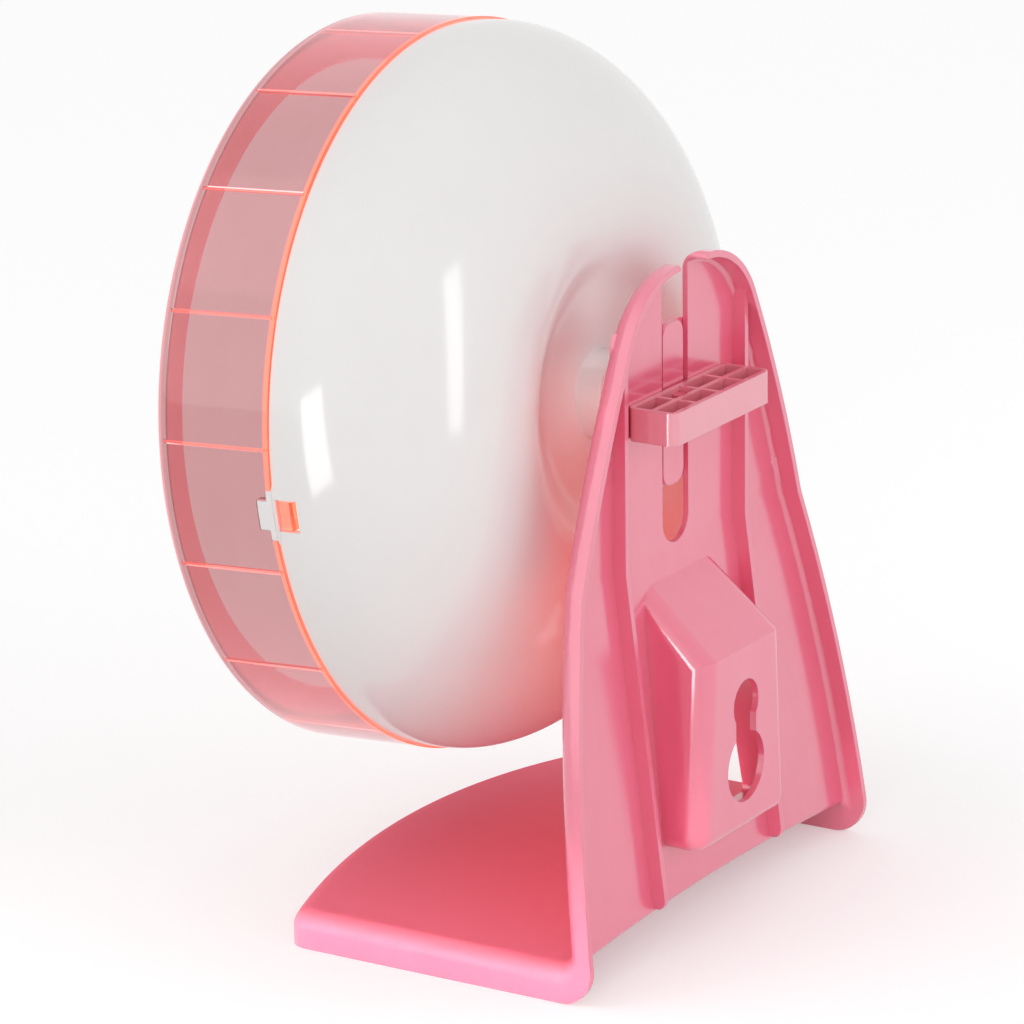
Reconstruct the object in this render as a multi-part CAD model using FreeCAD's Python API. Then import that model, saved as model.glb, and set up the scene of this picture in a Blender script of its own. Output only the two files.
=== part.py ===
"""Rodent exercise wheel: a white drum with a clear running ring, on a pink stand.

Lengths are in millimetres and angles in degrees. Every piece is first built about the
axle point, where the axle crosses the seam between drum and ring: +X to the side, +Y
towards the back plate and +Z up. Pieces of the wheel are built square to that point and
then hang forward by the axle's droop. The last step moves the whole to its place on the
floor, under the middle of its outline.
"""

import FreeCAD
import Part
import math
import os

# Whole object
axle_height = 147.4
axle_droop = 3.25

# Running ring
ring_outer_r = 105.0
ring_wall = 2.0
ring_depth = 38.4
ring_front_round = 5.3
lip_inner_r = 91.3
lip_wall = 2.0
lip_edge_round = 0.9
bar_count = 18
bar_first_angle = 3.2
bar_width = 1.0
bar_height = 1.5
bar_front_gap = 3.4
bar_rear_gap = 2.0

# Drum
bowl_outer_r = 104.3
bowl_wall = 1.8
bowl_straight = 5.7
bowl_back_y = 50.5
bowl_crest_r = 48.9
bowl_power = 1.78
bowl_curve_steps = 8
dish_floor_y = 41.9
dish_floor_r = 28.7

# Snap clips between drum and ring
clip_count = 3
clip_first_angle = -6.8
tab_width = 8.4
tab_reach = 5.0
step_width = 14.5
step_reach = 1.7
window_width = 9.2
window_start = 0.8
window_length = 6.6
hook_side_gap = 0.5
hook_length = 5.2
hook_crest = 3.8
tongue_wall = 1.6
tongue_root = 4.0
clip_gap = 0.15

# Hub, bearing and axle
hub_outer_r = 13.0
hub_back_y = 50.2
hub_back_wall = 2.0
hub_nose = 4.5
hub_hole_gap = 1.2
bearing_bore_r = 4.0
bearing_outer_r = 11.0
bearing_width = 7.0
ball_count = 7
ball_r = 1.984
race_inner_shoulder_r = 6.05
race_outer_shoulder_r = 9.2
ball_gap = 0.03
pocket_gap = 0.12
cage_wall = 1.5
cage_width = 4.8
shield_wall = 0.4
shield_seat = 0.5
shield_gap = 0.3
fit_gap = 0.01
pin_end_gap = 0.3
pin_rear_cover = 3.5
shoulder_r = 5.6
washer_r = 5.6
washer_wall = 0.8
screw_r = 1.65
screw_length = 12.0
screw_head_r = 3.6
screw_head_height = 2.2
screw_slot_width = 0.9
screw_slot_depth = 1.1
screw_end_gap = 1.0
washer_hole_gap = 0.35
cap_plug_depth = 2.6
cap_wall = 1.4
cap_dome = 3.0
cap_lip_wall = 1.2

# Back plate of the stand
plate_front_y = 65.2
plate_wall = 1.6
rim_depth = 6.3
rim_wall = 2.0
crease_z = -37.5
lean_angle = 7.2
foot_half = 81.0
foot_straight = 10.4
foot_arc_r = 50.0
side_arc_r = 417.0
ear_centre_x = 8.0
ear_centre_z = 14.7
ear_r = 30.8
slot_half = 7.3
slot_bottom_z = -37.4
slot_corner_r = 2.0
rib_x = 34.0
rib_wall = 2.0
rib_depth = 4.1
rib_lift = 1.9
rib_end_r = 2.5
crease_bend_r = 20.0
edge_round = 5.5
inner_round = 2.0

# Base of the stand
base_side_height = 10.2
base_crown = 3.2
base_front_y = -26.3
base_front_r = 258.0
base_corner_r = 7.0
heel_r = 10.0
bend_inner_r = 2.6
bend_outer_r = 2.0

# Hanging boss on the back plate
boss_top_z = -45.9
boss_edge_z = -65.0
boss_bottom_z = -120.0
boss_face_y = 89.5
boss_top_half = 21.0
boss_bottom_half = 26.0
boss_wall = 2.0
boss_round = 6.0
boss_foot_round = 4.0
keyhole_small_r = 7.2
keyhole_small_z = -82.0
keyhole_large_r = 10.5
keyhole_large_z = -100.6
keyhole_neck_half = 5.8

# Axle carriage and its block
slide_gap = 0.15
neck_half = 5.7
neck_half_height = 23.5
neck_drop = 0.7
neck_recess = 0.6
neck_corner_r = 4.0
carrier_half = 9.4
carrier_wall = 2.6
carrier_boss_r = 9.2
carrier_tip_r = 7.6
hub_running_gap = 1.2
tongue_half = 5.0
tongue_half_height = 3.2
tongue_length = 4.0
block_half = 27.5
block_depth = 15.5
block_height = 9.4
block_corner_r = 3.0
block_wall = 1.7
cell_wall = 1.5
cell_columns = 4
cell_rows = 2
block_floor = 1.6

# Room for cutters to run past the faces that they cut
margin = 20.0
# Sunk share of a boss or rib, so that it joins its plate
root = 0.6

# Sizes that follow
ring_inner_r = ring_outer_r - ring_wall
bowl_inner_r = bowl_outer_r - bowl_wall
seat_back_y = hub_back_y - hub_back_wall
seat_front_y = seat_back_y - bearing_width
hub_front_y = seat_front_y - hub_nose
race_pitch_r = (race_inner_shoulder_r + race_outer_shoulder_r) / 2.0
race_middle_y = (seat_back_y + seat_front_y) / 2.0
floor_z = -axle_height
base_top_z = floor_z + base_side_height
plate_rear_y = plate_front_y + plate_wall
lean = math.radians(lean_angle)
crease_reach = crease_bend_r * math.tan(lean / 2.0)
crease_high_z = crease_z + crease_reach
crease_low_z = crease_z - crease_reach * math.cos(lean)
droop = math.radians(axle_droop)
carriage_z = plate_front_y * math.tan(droop)
block_front_y = plate_rear_y + slide_gap
carrier_rear_y = plate_front_y - slide_gap
carrier_front_y = carrier_rear_y - carrier_wall
pin_rear_y = plate_front_y - pin_rear_cover

# The floor point under the middle of the outline
front_reach = (
    (ring_depth - ring_front_round) * math.cos(droop)
    + (ring_outer_r - ring_front_round) * math.sin(droop)
    + ring_front_round
)
middle_y = (boss_face_y - front_reach) / 2.0

X_AXIS = FreeCAD.Vector(1, 0, 0)
Y_AXIS = FreeCAD.Vector(0, 1, 0)
ORIGIN = FreeCAD.Vector(0, 0, 0)


def at(x, y, z):
    """Point from its three coordinates."""
    return FreeCAD.Vector(x, y, z)


def line(start, end):
    """Straight edge between two points."""
    return Part.LineSegment(start, end).toShape()


def arc(start, middle, end):
    """Round edge through three points."""
    return Part.Arc(start, middle, end).toShape()


def face_of(edges):
    """Flat face inside a closed run of edges."""
    return Part.Face(Part.Wire(edges))


def polygon(points):
    """Flat face with straight sides."""
    return Part.Face(Part.makePolygon(points + [points[0]]))


def box(low, high):
    """Block between two opposite corners."""
    size = high - low
    return Part.makeBox(size.x, size.y, size.z, low)


def rod(radius, start_y, end_y):
    """Round bar about the axle."""
    return Part.makeCylinder(radius, end_y - start_y, at(0, start_y, 0), Y_AXIS)


def tube(outer_r, inner_r, start_y, end_y):
    """Round tube about the axle."""
    return rod(outer_r, start_y, end_y).cut(rod(inner_r, start_y - margin, end_y + margin))


def lathe(edges, angle=360.0):
    """Solid of revolution about the axle, from a profile of radius along X."""
    return face_of(edges).revolve(ORIGIN, Y_AXIS, angle)


def sector(inner_r, outer_r, start_y, end_y, centre_angle, width):
    """Curved slab about the axle, of a given width as measured on the drum's outside."""
    profile = polygon([
        at(inner_r, start_y, 0), at(outer_r, start_y, 0),
        at(outer_r, end_y, 0), at(inner_r, end_y, 0),
    ])
    return swept(profile, centre_angle, width)


def swept(profile, centre_angle, width):
    """Profile carried round the axle, of a given width as measured on the drum's outside."""
    span = math.degrees(width / bowl_outer_r)
    slab = profile.revolve(ORIGIN, Y_AXIS, span)
    # A turn about +Y takes +X towards -Z, so an angle towards +Z is a turn the other way
    slab.rotate(ORIGIN, Y_AXIS, -centre_angle - span / 2.0)
    return slab


def turned(shape, angle):
    """Copy of a shape, turned about the axle towards +Z."""
    copy = shape.copy()
    copy.rotate(ORIGIN, Y_AXIS, -angle)
    return copy


def hung(shape):
    """Copy of a wheel piece, tipped forward by the axle's droop."""
    copy = shape.copy()
    copy.rotate(ORIGIN, X_AXIS, axle_droop)
    return copy


def rounded(shape, radius, wanted):
    """Round the edges that a test picks."""
    edges = [edge for edge in shape.Edges if wanted(edge)]
    return shape.makeFillet(radius, edges)


def clip_angles():
    """Angles of the snap clips about the axle."""
    return [clip_first_angle + i * 360.0 / clip_count for i in range(clip_count)]


# Running ring

def build_running_ring():
    """Clear band with a rounded front, an inward lip, cross bars and hooks."""
    front = -ring_depth
    r_out = ring_front_round
    r_in = ring_front_round - ring_wall
    c45 = math.cos(math.pi / 4.0)
    corner = at(ring_outer_r - r_out, front + r_out, 0)
    outer_mid = corner + at(r_out * c45, -r_out * c45, 0)
    inner_mid = corner + at(r_in * c45, -r_in * c45, 0)
    lip_back = front + lip_wall
    edges = [
        line(at(ring_inner_r, 0, 0), at(ring_outer_r, 0, 0)),
        line(at(ring_outer_r, 0, 0), at(ring_outer_r, corner.y, 0)),
        arc(at(ring_outer_r, corner.y, 0), outer_mid, at(corner.x, front, 0)),
        line(at(corner.x, front, 0), at(lip_inner_r, front, 0)),
        line(at(lip_inner_r, front, 0), at(lip_inner_r, lip_back, 0)),
        line(at(lip_inner_r, lip_back, 0), at(corner.x, lip_back, 0)),
        arc(at(corner.x, lip_back, 0), inner_mid, at(ring_inner_r, corner.y, 0)),
        line(at(ring_inner_r, corner.y, 0), at(ring_inner_r, 0, 0)),
    ]
    ring = lathe(edges)
    ring = rounded(ring, lip_edge_round, lambda e: is_hoop(e, lip_inner_r))
    bar_start = front + bar_front_gap
    inner = ring_inner_r - bar_height
    bars = [
        sector(inner, ring_inner_r + root, bar_start, -bar_rear_gap,
               bar_first_angle + i * 360.0 / bar_count, bar_width)
        for i in range(bar_count)
    ]
    ring = ring.fuse(bars)
    for angle in clip_angles():
        ring = ring.cut(ring_notch(angle))
        ring = ring.fuse(ring_hook(angle))
    return ring.removeSplitter()


def is_hoop(edge, radius):
    """True for a full circle of this radius about the axle."""
    curve = edge.Curve
    return isinstance(curve, Part.Circle) and abs(curve.Radius - radius) < 1e-4


def ring_notch(angle):
    """Stepped gap in the ring's rear edge, where the drum's tab lies."""
    wide = sector(ring_inner_r - root, ring_outer_r + root, -step_reach - clip_gap, margin,
                  angle, step_width + 2.0 * clip_gap)
    narrow = sector(ring_inner_r - root, ring_outer_r + root, -tab_reach - clip_gap, margin,
                    angle, tab_width + 2.0 * clip_gap)
    return wide.fuse(narrow)


def ring_hook(angle):
    """Tongue that runs under the drum's edge, with a catch that fills its window."""
    width = window_width - 2.0 * hook_side_gap
    tongue_top = bowl_inner_r - clip_gap
    tongue_low = tongue_top - tongue_wall
    catch_start = window_start + hook_side_gap
    catch_end = catch_start + hook_length
    strap = sector(tongue_low, tongue_top, -tab_reach - tongue_root, catch_end, angle, width)
    pad = sector(tongue_low, ring_inner_r + root, -tab_reach - tongue_root,
                 -tab_reach - clip_gap, angle, width)
    catch = polygon([
        at(tongue_top - root, catch_start, 0), at(bowl_outer_r, catch_start, 0),
        at(bowl_outer_r, catch_start + hook_crest, 0), at(tongue_top - root, catch_end, 0),
    ])
    return strap.fuse([pad, swept(catch, angle, width)])


# Drum

def bowl_curve(radius, crest_y):
    """Edge of the drum's round shoulder, from its straight band to its crest.

    The curve is |dr / a| ** n + |dy / b| ** n = 1, with a and b its reach in radius and
    depth and n the shoulder's power.
    """
    reach_r = radius - bowl_crest_r
    reach_y = crest_y - bowl_straight
    points = []
    for i in range(bowl_curve_steps + 1):
        turn = math.pi / 2.0 * i / bowl_curve_steps
        along = math.cos(turn) ** (2.0 / bowl_power)
        deep = math.sin(turn) ** (2.0 / bowl_power)
        if i == bowl_curve_steps:
            along = 0.0
        points.append(at(bowl_crest_r + reach_r * along, bowl_straight + reach_y * deep, 0))
    curve = Part.BSplineCurve()
    curve.interpolate(Points=points, InitialTangent=Y_AXIS, FinalTangent=at(-1, 0, 0))
    return curve.toShape()


def dish_arcs(offset):
    """Two tangent arcs from the crest down to the dish floor, set in by an offset."""
    fall = bowl_back_y - dish_floor_y
    width = bowl_crest_r - dish_floor_r
    bend = (width * width + fall * fall) / (4.0 * fall)
    half = math.atan2(fall, width)
    crest_centre = at(bowl_crest_r, bowl_back_y - bend, 0)
    floor_centre = at(dish_floor_r, dish_floor_y + bend, 0)
    crest_r = bend - offset
    floor_r = bend + offset
    crest = [
        crest_centre + at(-crest_r * math.sin(half * k), crest_r * math.cos(half * k), 0)
        for k in (0.0, 1.0, 2.0)
    ]
    floor = [
        floor_centre + at(floor_r * math.sin(half * k), -floor_r * math.cos(half * k), 0)
        for k in (2.0, 1.0, 0.0)
    ]
    return [arc(*crest), arc(*floor)]


def bowl_shell_edges():
    """Closed profile of the drum's wall, out to its dish floor."""
    floor_in = dish_floor_y - bowl_wall
    join_r = hub_outer_r - root
    outside = [
        line(at(bowl_outer_r, 0, 0), at(bowl_outer_r, bowl_straight, 0)),
        bowl_curve(bowl_outer_r, bowl_back_y),
    ] + dish_arcs(0.0) + [
        line(at(dish_floor_r, dish_floor_y, 0), at(join_r, dish_floor_y, 0)),
    ]
    inside = [
        line(at(bowl_inner_r, 0, 0), at(bowl_inner_r, bowl_straight, 0)),
        bowl_curve(bowl_inner_r, bowl_back_y - bowl_wall),
    ] + dish_arcs(bowl_wall) + [
        line(at(dish_floor_r, floor_in, 0), at(join_r, floor_in, 0)),
    ]
    ends = [
        line(at(bowl_inner_r, 0, 0), at(bowl_outer_r, 0, 0)),
        line(at(join_r, floor_in, 0), at(join_r, dish_floor_y, 0)),
    ]
    return Part.sortEdges(outside + inside + ends)[0]


def build_wheel_bowl():
    """White drum: round shoulder, dished back, bearing hub and snap tabs."""
    bowl = lathe(bowl_shell_edges())
    hub = rod(hub_outer_r, hub_front_y, hub_back_y)
    hub = rounded(hub, 1.2, lambda e: is_hoop(e, hub_outer_r) and e.CenterOfMass.y > dish_floor_y)
    bowl = bowl.fuse(hub)
    bowl = bowl.cut(rod(bearing_outer_r, hub_front_y - margin, seat_back_y))
    bowl = bowl.cut(rod(shoulder_r + hub_hole_gap, hub_front_y - margin, hub_back_y + margin))
    for angle in clip_angles():
        bowl = bowl.fuse(bowl_tab(angle))
        bowl = bowl.cut(bowl_window(angle))
    return bowl.removeSplitter()


def bowl_tab(angle):
    """Stepped tab that lies in the ring's notch, flush with the ring."""
    wide = sector(bowl_inner_r, ring_outer_r, -step_reach, root, angle, step_width)
    narrow = sector(bowl_inner_r, ring_outer_r, -tab_reach, root, angle, tab_width)
    return wide.fuse(narrow)


def bowl_window(angle):
    """Window behind the tab, where the ring's catch shows."""
    return sector(bowl_inner_r - margin / 4.0, ring_outer_r + margin, window_start,
                  window_start + window_length, angle, window_width)


# Bearing and axle

def ball_groove():
    """Ring-shaped room in which the balls roll."""
    return Part.makeTorus(race_pitch_r, ball_r + ball_gap, at(0, race_middle_y, 0), Y_AXIS)


def build_inner_race():
    """Inner race, still on the axle."""
    race = tube(race_inner_shoulder_r, bearing_bore_r + fit_gap, seat_front_y, seat_back_y)
    return race.cut(ball_groove())


def build_outer_race():
    """Outer race, pressed into the hub, with a seat for a shield at each face."""
    race = tube(bearing_outer_r - fit_gap, race_outer_shoulder_r, seat_front_y, seat_back_y)
    seat_r = race_outer_shoulder_r + shield_seat
    race = race.cut(rod(seat_r, seat_front_y - margin, seat_front_y + shield_wall))
    race = race.cut(rod(seat_r, seat_back_y - shield_wall, seat_back_y + margin))
    return race.cut(ball_groove())


def ball_centres():
    """Points where the balls sit."""
    turns = [2.0 * math.pi * i / ball_count for i in range(ball_count)]
    return [at(race_pitch_r * math.cos(t), race_middle_y, race_pitch_r * math.sin(t)) for t in turns]


def build_balls():
    """Balls of the bearing."""
    return Part.makeCompound([Part.makeSphere(ball_r, centre) for centre in ball_centres()])


def build_cage():
    """Ring with a round pocket through it for each ball."""
    cage = tube(race_pitch_r + cage_wall / 2.0, race_pitch_r - cage_wall / 2.0,
                race_middle_y - cage_width / 2.0, race_middle_y + cage_width / 2.0)
    hub = at(0, race_middle_y, 0)
    for centre in ball_centres():
        cage = cage.cut(Part.makeCylinder(ball_r + pocket_gap, race_outer_shoulder_r, hub, centre - hub))
    return cage


def build_shield(start_y):
    """Thin washer that closes one face of the bearing."""
    outer = race_outer_shoulder_r + shield_seat - fit_gap
    return tube(outer, race_inner_shoulder_r + shield_gap, start_y, start_y + shield_wall)


def build_axle_pin():
    """Steel axle with a tapped front end."""
    front = seat_front_y + pin_end_gap
    pin = rod(bearing_bore_r, front, pin_rear_y)
    hole_end = seat_front_y - washer_wall + screw_length + screw_end_gap
    return pin.cut(rod(screw_r + fit_gap, front - margin, hole_end))


def build_washer():
    """Washer that holds the inner race on the axle."""
    return tube(washer_r, screw_r + washer_hole_gap, seat_front_y - washer_wall, seat_front_y)


def build_screw():
    """Round-headed screw with a crossed recess."""
    under = seat_front_y - washer_wall
    top = under - screw_head_height
    head = rod(screw_head_r, top, under)
    head = rounded(head, screw_head_height * 0.6,
                   lambda e: is_hoop(e, screw_head_r) and e.CenterOfMass.y < under - root)
    screw = head.fuse(rod(screw_r, under - root, under + screw_length))
    half = screw_slot_width / 2.0
    reach = screw_head_r * 0.62
    for wide, tall in ((half, reach), (reach, half)):
        slot = box(at(-wide, top - margin, -tall), at(wide, top + screw_slot_depth, tall))
        screw = screw.cut(slot)
    return screw


def build_hub_cap():
    """Domed plug that closes the hub inside the wheel."""
    plug_r = bearing_outer_r - fit_gap
    crown_y = hub_front_y - cap_lip_wall - cap_dome
    rim_y = hub_front_y - cap_lip_wall
    # The dome is part of a ball whose middle lies on the axle
    dome_r = (hub_outer_r ** 2 + cap_dome ** 2) / (2.0 * cap_dome)
    half = math.asin(hub_outer_r / dome_r) / 2.0
    swell = at(dome_r * math.sin(half), crown_y + dome_r * (1.0 - math.cos(half)), 0)
    dome = arc(at(hub_outer_r, rim_y, 0), swell, at(0, crown_y, 0))
    edges = [
        line(at(0, crown_y, 0), at(0, hub_front_y, 0)),
        line(at(0, hub_front_y, 0), at(hub_outer_r, hub_front_y, 0)),
        line(at(hub_outer_r, hub_front_y, 0), at(hub_outer_r, rim_y, 0)),
        dome,
    ]
    cap = lathe(edges)
    plug = tube(plug_r, plug_r - cap_wall, hub_front_y - root, hub_front_y + cap_plug_depth)
    head_room = rod(plug_r - cap_wall, rim_y, hub_front_y + margin)
    return cap.cut(head_room).fuse(plug).removeSplitter()


# Stand

def outline_arcs(inset):
    """Arcs up one side of the back plate, from its foot to the top of its ear.

    The foot arc starts upright above the foot's straight side, and the long side arc is
    tangent to it and to the ear. An inset moves every arc the same way.
    """
    foot_c = at(foot_half - foot_arc_r, 0, floor_z + foot_straight)
    ear_c = at(ear_centre_x, 0, ear_centre_z)
    step = side_arc_r - foot_arc_r
    gap = foot_c - ear_c
    reach = side_arc_r - ear_r
    share = (gap.Length ** 2 + step ** 2 - reach ** 2) / (2.0 * step * gap.Length)
    turn = math.atan2(gap.z, gap.x) + math.acos(share)
    side_c = foot_c - at(step * math.cos(turn), 0, step * math.sin(turn))
    over = math.atan2(ear_c.z - side_c.z, ear_c.x - side_c.x)

    def on(centre, radius, angle):
        return centre + at(radius * math.cos(angle), 0, radius * math.sin(angle))

    runs = [
        (foot_c, foot_arc_r - inset, 0.0, turn),
        (side_c, side_arc_r - inset, turn, over),
        (ear_c, ear_r - inset, over, math.pi / 2.0),
    ]
    arcs = [arc(on(c, r, a), on(c, r, (a + b) / 2.0), on(c, r, b)) for c, r, a, b in runs]
    start = on(foot_c, foot_arc_r - inset, 0.0)
    end = on(ear_c, ear_r - inset, math.pi / 2.0)
    return arcs, start, end


def mirrored(edges):
    """Copies of edges on the other side of the middle plane."""
    return [edge.mirror(ORIGIN, X_AXIS) for edge in edges]


def slot_corner():
    """Centre of the round corner between an ear and the slot, and where it meets the ear."""
    centre_x = slot_half + slot_corner_r
    aside = centre_x - ear_centre_x
    rise = math.sqrt((ear_r - slot_corner_r) ** 2 - aside ** 2)
    return at(centre_x, 0, ear_centre_z + rise), math.atan2(rise, aside)


def slot_cutter():
    """Cutter for the open-topped slot, flared at the ears by its round corners."""
    centre, finish = slot_corner()
    end = centre + at(slot_corner_r * math.cos(finish), 0, slot_corner_r * math.sin(finish))
    middle = (finish + math.pi) / 2.0
    bulge = centre + at(slot_corner_r * math.cos(middle), 0, slot_corner_r * math.sin(middle))
    wall_top = at(slot_half, 0, centre.z)
    wall_low = at(slot_half, 0, slot_bottom_z + slot_half)
    high = at(end.x, 0, end.z + margin)
    side = [line(high, end), arc(end, bulge, wall_top), line(wall_top, wall_low)]
    floor = arc(wall_low, at(0, 0, slot_bottom_z), at(-slot_half, 0, wall_low.z))
    lid = line(at(-high.x, 0, high.z), high)
    return through(face_of(Part.sortEdges(side + mirrored(side) + [floor, lid])[0]))


def back_outline(inset):
    """Front view of the back plate as a face without its slot, set in by an inset."""
    arcs, start, end = outline_arcs(inset)
    low = at(start.x, 0, floor_z - margin)
    side = [line(low, start)] + arcs
    across = line(end, at(-end.x, 0, end.z))
    foot = line(at(-low.x, 0, low.z), low)
    return face_of(Part.sortEdges(side + mirrored(side) + [across, foot])[0])


def through(outline):
    """Prism from an outline seen from the front, through the whole depth of the stand."""
    start_y = base_front_y - margin
    outline.translate(at(0, start_y, 0))
    return outline.extrude(at(0, boss_face_y + margin - start_y, 0))


def plate_y(z, offset):
    """Depth of the back plate's front face at a height, plus an offset."""
    if z >= crease_high_z:
        back = 0.0
    elif z <= crease_low_z:
        back = (crease_z - z) * math.tan(lean)
    else:
        back = crease_bend_r - math.sqrt(crease_bend_r ** 2 - (crease_high_z - z) ** 2)
    return plate_front_y + offset + back


def plate_line(x, offset, top, bottom):
    """Edges down the back plate's side view: upright, round the crease, then leaning."""
    middle_z = crease_high_z - crease_bend_r * math.sin(lean / 2.0)
    points = [at(x, plate_y(z, offset), z) for z in (top, crease_high_z, middle_z, crease_low_z, bottom)]
    return [line(points[0], points[1]), arc(*points[1:4]), line(points[3], points[4])]


def plate_slab(front, rear, top, bottom, half):
    """Slab that follows the back plate's crease, between two offsets from its front face."""
    edges = plate_line(-half, front, top, bottom) + plate_line(-half, rear, top, bottom)
    for z in (top, bottom):
        edges.append(line(at(-half, plate_y(z, front), z), at(-half, plate_y(z, rear), z)))
    return face_of(Part.sortEdges(edges)[0]).extrude(at(2.0 * half, 0, 0))


def base_outline(inset, rear_y):
    """Plan of the base as a face: a bowed front with round corners and straight sides."""
    half = foot_half - inset
    bow = base_front_r - inset
    corner = base_corner_r - inset
    bow_c = at(0, base_front_y + base_front_r, 0)
    # The corner's centre lies one corner radius in from the side and from the bow
    corner_x = half - corner
    corner_y = bow_c.y - math.sqrt((bow - corner) ** 2 - corner_x ** 2)
    away = math.atan2(corner_y - bow_c.y, corner_x)
    touch = at(bow * math.cos(away), bow_c.y + bow * math.sin(away), 0)
    side_start = at(half, corner_y, 0)
    middle = away / 2.0
    bulge = at(corner_x + corner * math.cos(middle), corner_y + corner * math.sin(middle), 0)
    right = [arc(touch, bulge, side_start), line(side_start, at(half, rear_y, 0))]
    front = arc(at(-touch.x, touch.y, 0), at(0, base_front_y + inset, 0), touch)
    rear = line(at(half, rear_y, 0), at(-half, rear_y, 0))
    edges = Part.sortEdges([front] + right + [rear] + mirrored(right))[0]
    return face_of(edges)


def crown_radius():
    """Radius of the base's arched top."""
    return (foot_half ** 2 + base_crown ** 2) / (2.0 * base_crown)


def crown(offset):
    """Long round solid whose top is the base's arched top, lowered by an offset."""
    radius = crown_radius()
    axis_z = base_top_z + base_crown - radius
    length = 20.0 * margin
    start = at(0, -length / 2.0, axis_z)
    arch = Part.makeCylinder(radius - offset, length, start, Y_AXIS)
    # The round's own seam line goes underneath, out of the way
    arch.rotate(start, Y_AXIS, 180.0)
    return arch


def middle_of(edge):
    """Point half-way along an edge."""
    return edge.valueAt((edge.FirstParameter + edge.LastParameter) / 2.0)


def upright_prism(plan):
    """Prism from a plan, through the whole height of the stand."""
    plan.translate(at(0, 0, floor_z - margin))
    return plan.extrude(at(0, 0, axle_height + ear_centre_z + ear_r + 2.0 * margin))


def stand_block():
    """The stand before it is hollowed: a thick L inside its two outlines."""
    top = ear_centre_z + ear_r + margin
    wide = foot_half + margin
    crest_z = base_top_z + base_crown
    back = plate_slab(0.0, plate_wall + rim_depth, top, floor_z, wide)
    base = box(at(-wide, base_front_y - margin, floor_z),
               at(wide, plate_y(floor_z, plate_wall), crest_z + margin))
    ell = back.fuse(base.common(crown(0.0))).removeSplitter()
    ell = rounded(ell, heel_r, is_heel)
    ell = rounded(ell, bend_inner_r, is_inner_bend)
    block = ell.common(through(back_outline(0.0)))
    block = block.common(upright_prism(base_outline(0.0, boss_face_y + margin)))
    # The rounding runs on from the bowed front edge, up both sides and over the ears
    block = rounded(block.removeSplitter(), edge_round, is_bow)
    return block.cut(slot_cutter())


def is_heel(edge):
    """True for the long edge at the back of the foot."""
    middle = edge.CenterOfMass
    rear = plate_y(floor_z, plate_wall + rim_depth)
    return abs(middle.z - floor_z) < 1e-3 and abs(middle.y - rear) < 1e-3


def is_inner_bend(edge):
    """True for the long edge where the back plate rises from the base."""
    middle = middle_of(edge)
    crest_z = base_top_z + base_crown
    on_plate = abs(middle.y - plate_y(crest_z, 0.0)) < root
    return on_plate and abs(middle.z - crest_z) < root and edge.Length > foot_half


def is_bow(edge):
    """True for the top edge of the base's bowed front."""
    middle = middle_of(edge)
    crest_z = base_top_z + base_crown
    return abs(middle.y - base_front_y) < root and abs(middle.z - crest_z) < root


def stand_hollow():
    """What is taken out of the block, behind the back plate and under the base."""
    top = ear_centre_z + ear_r + margin
    wide = foot_half + margin
    behind = plate_slab(plate_wall, boss_face_y, top, floor_z - margin, wide)
    behind = behind.common(through(back_outline(rim_wall)))
    under = upright_prism(base_outline(rim_wall, boss_face_y + margin)).common(crown(plate_wall))
    # Rounding inside too keeps the wall from thinning out at the block's rounded edge
    behind = rounded(behind, inner_round, is_plate_side)
    under = rounded(under, inner_round, is_under_bow)
    hollow = behind.fuse(under).removeSplitter()
    return rounded(hollow, bend_outer_r, is_outer_bend)


def is_plate_side(edge):
    """True for a side edge of the hollow that runs up the back plate."""
    middle = middle_of(edge)
    return abs(middle.y - plate_y(middle.z, plate_wall)) < 0.1 and abs(middle.x) > slot_half


def is_under_bow(edge):
    """True for the hollow's top edge round the front and sides of the base."""
    middle = middle_of(edge)
    radius = crown_radius()
    top_z = base_top_z + base_crown - radius + math.sqrt((radius - plate_wall) ** 2 - middle.x ** 2)
    return abs(middle.z - top_z) < 0.1 and middle.y < boss_face_y


def is_outer_bend(edge):
    """True for the hollow's long edge under the foot of the back plate."""
    middle = middle_of(edge)
    crest_z = base_top_z + base_crown - plate_wall
    on_plate = abs(middle.y - plate_y(crest_z, plate_wall)) < root
    return on_plate and abs(middle.z - crest_z) < root and edge.Length > foot_half


def rib(x):
    """One upright rib on the back of the plate, round at its lower end."""
    under = base_top_z + base_crown * (1.0 - (x / foot_half) ** 2) - plate_wall + rib_lift
    strip = plate_slab(plate_wall - root, plate_wall + rib_depth, ear_centre_z + ear_r,
                       under, rib_wall / 2.0)
    crest_y = plate_y(under, plate_wall + rib_depth)
    strip = rounded(strip, rib_end_r, lambda e: abs(middle_of(e).z - under) < 1e-3
                    and abs(middle_of(e).y - crest_y) < 1e-3)
    strip.translate(at(x, 0, 0))
    return strip.common(through(back_outline(rim_wall / 2.0)))


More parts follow.
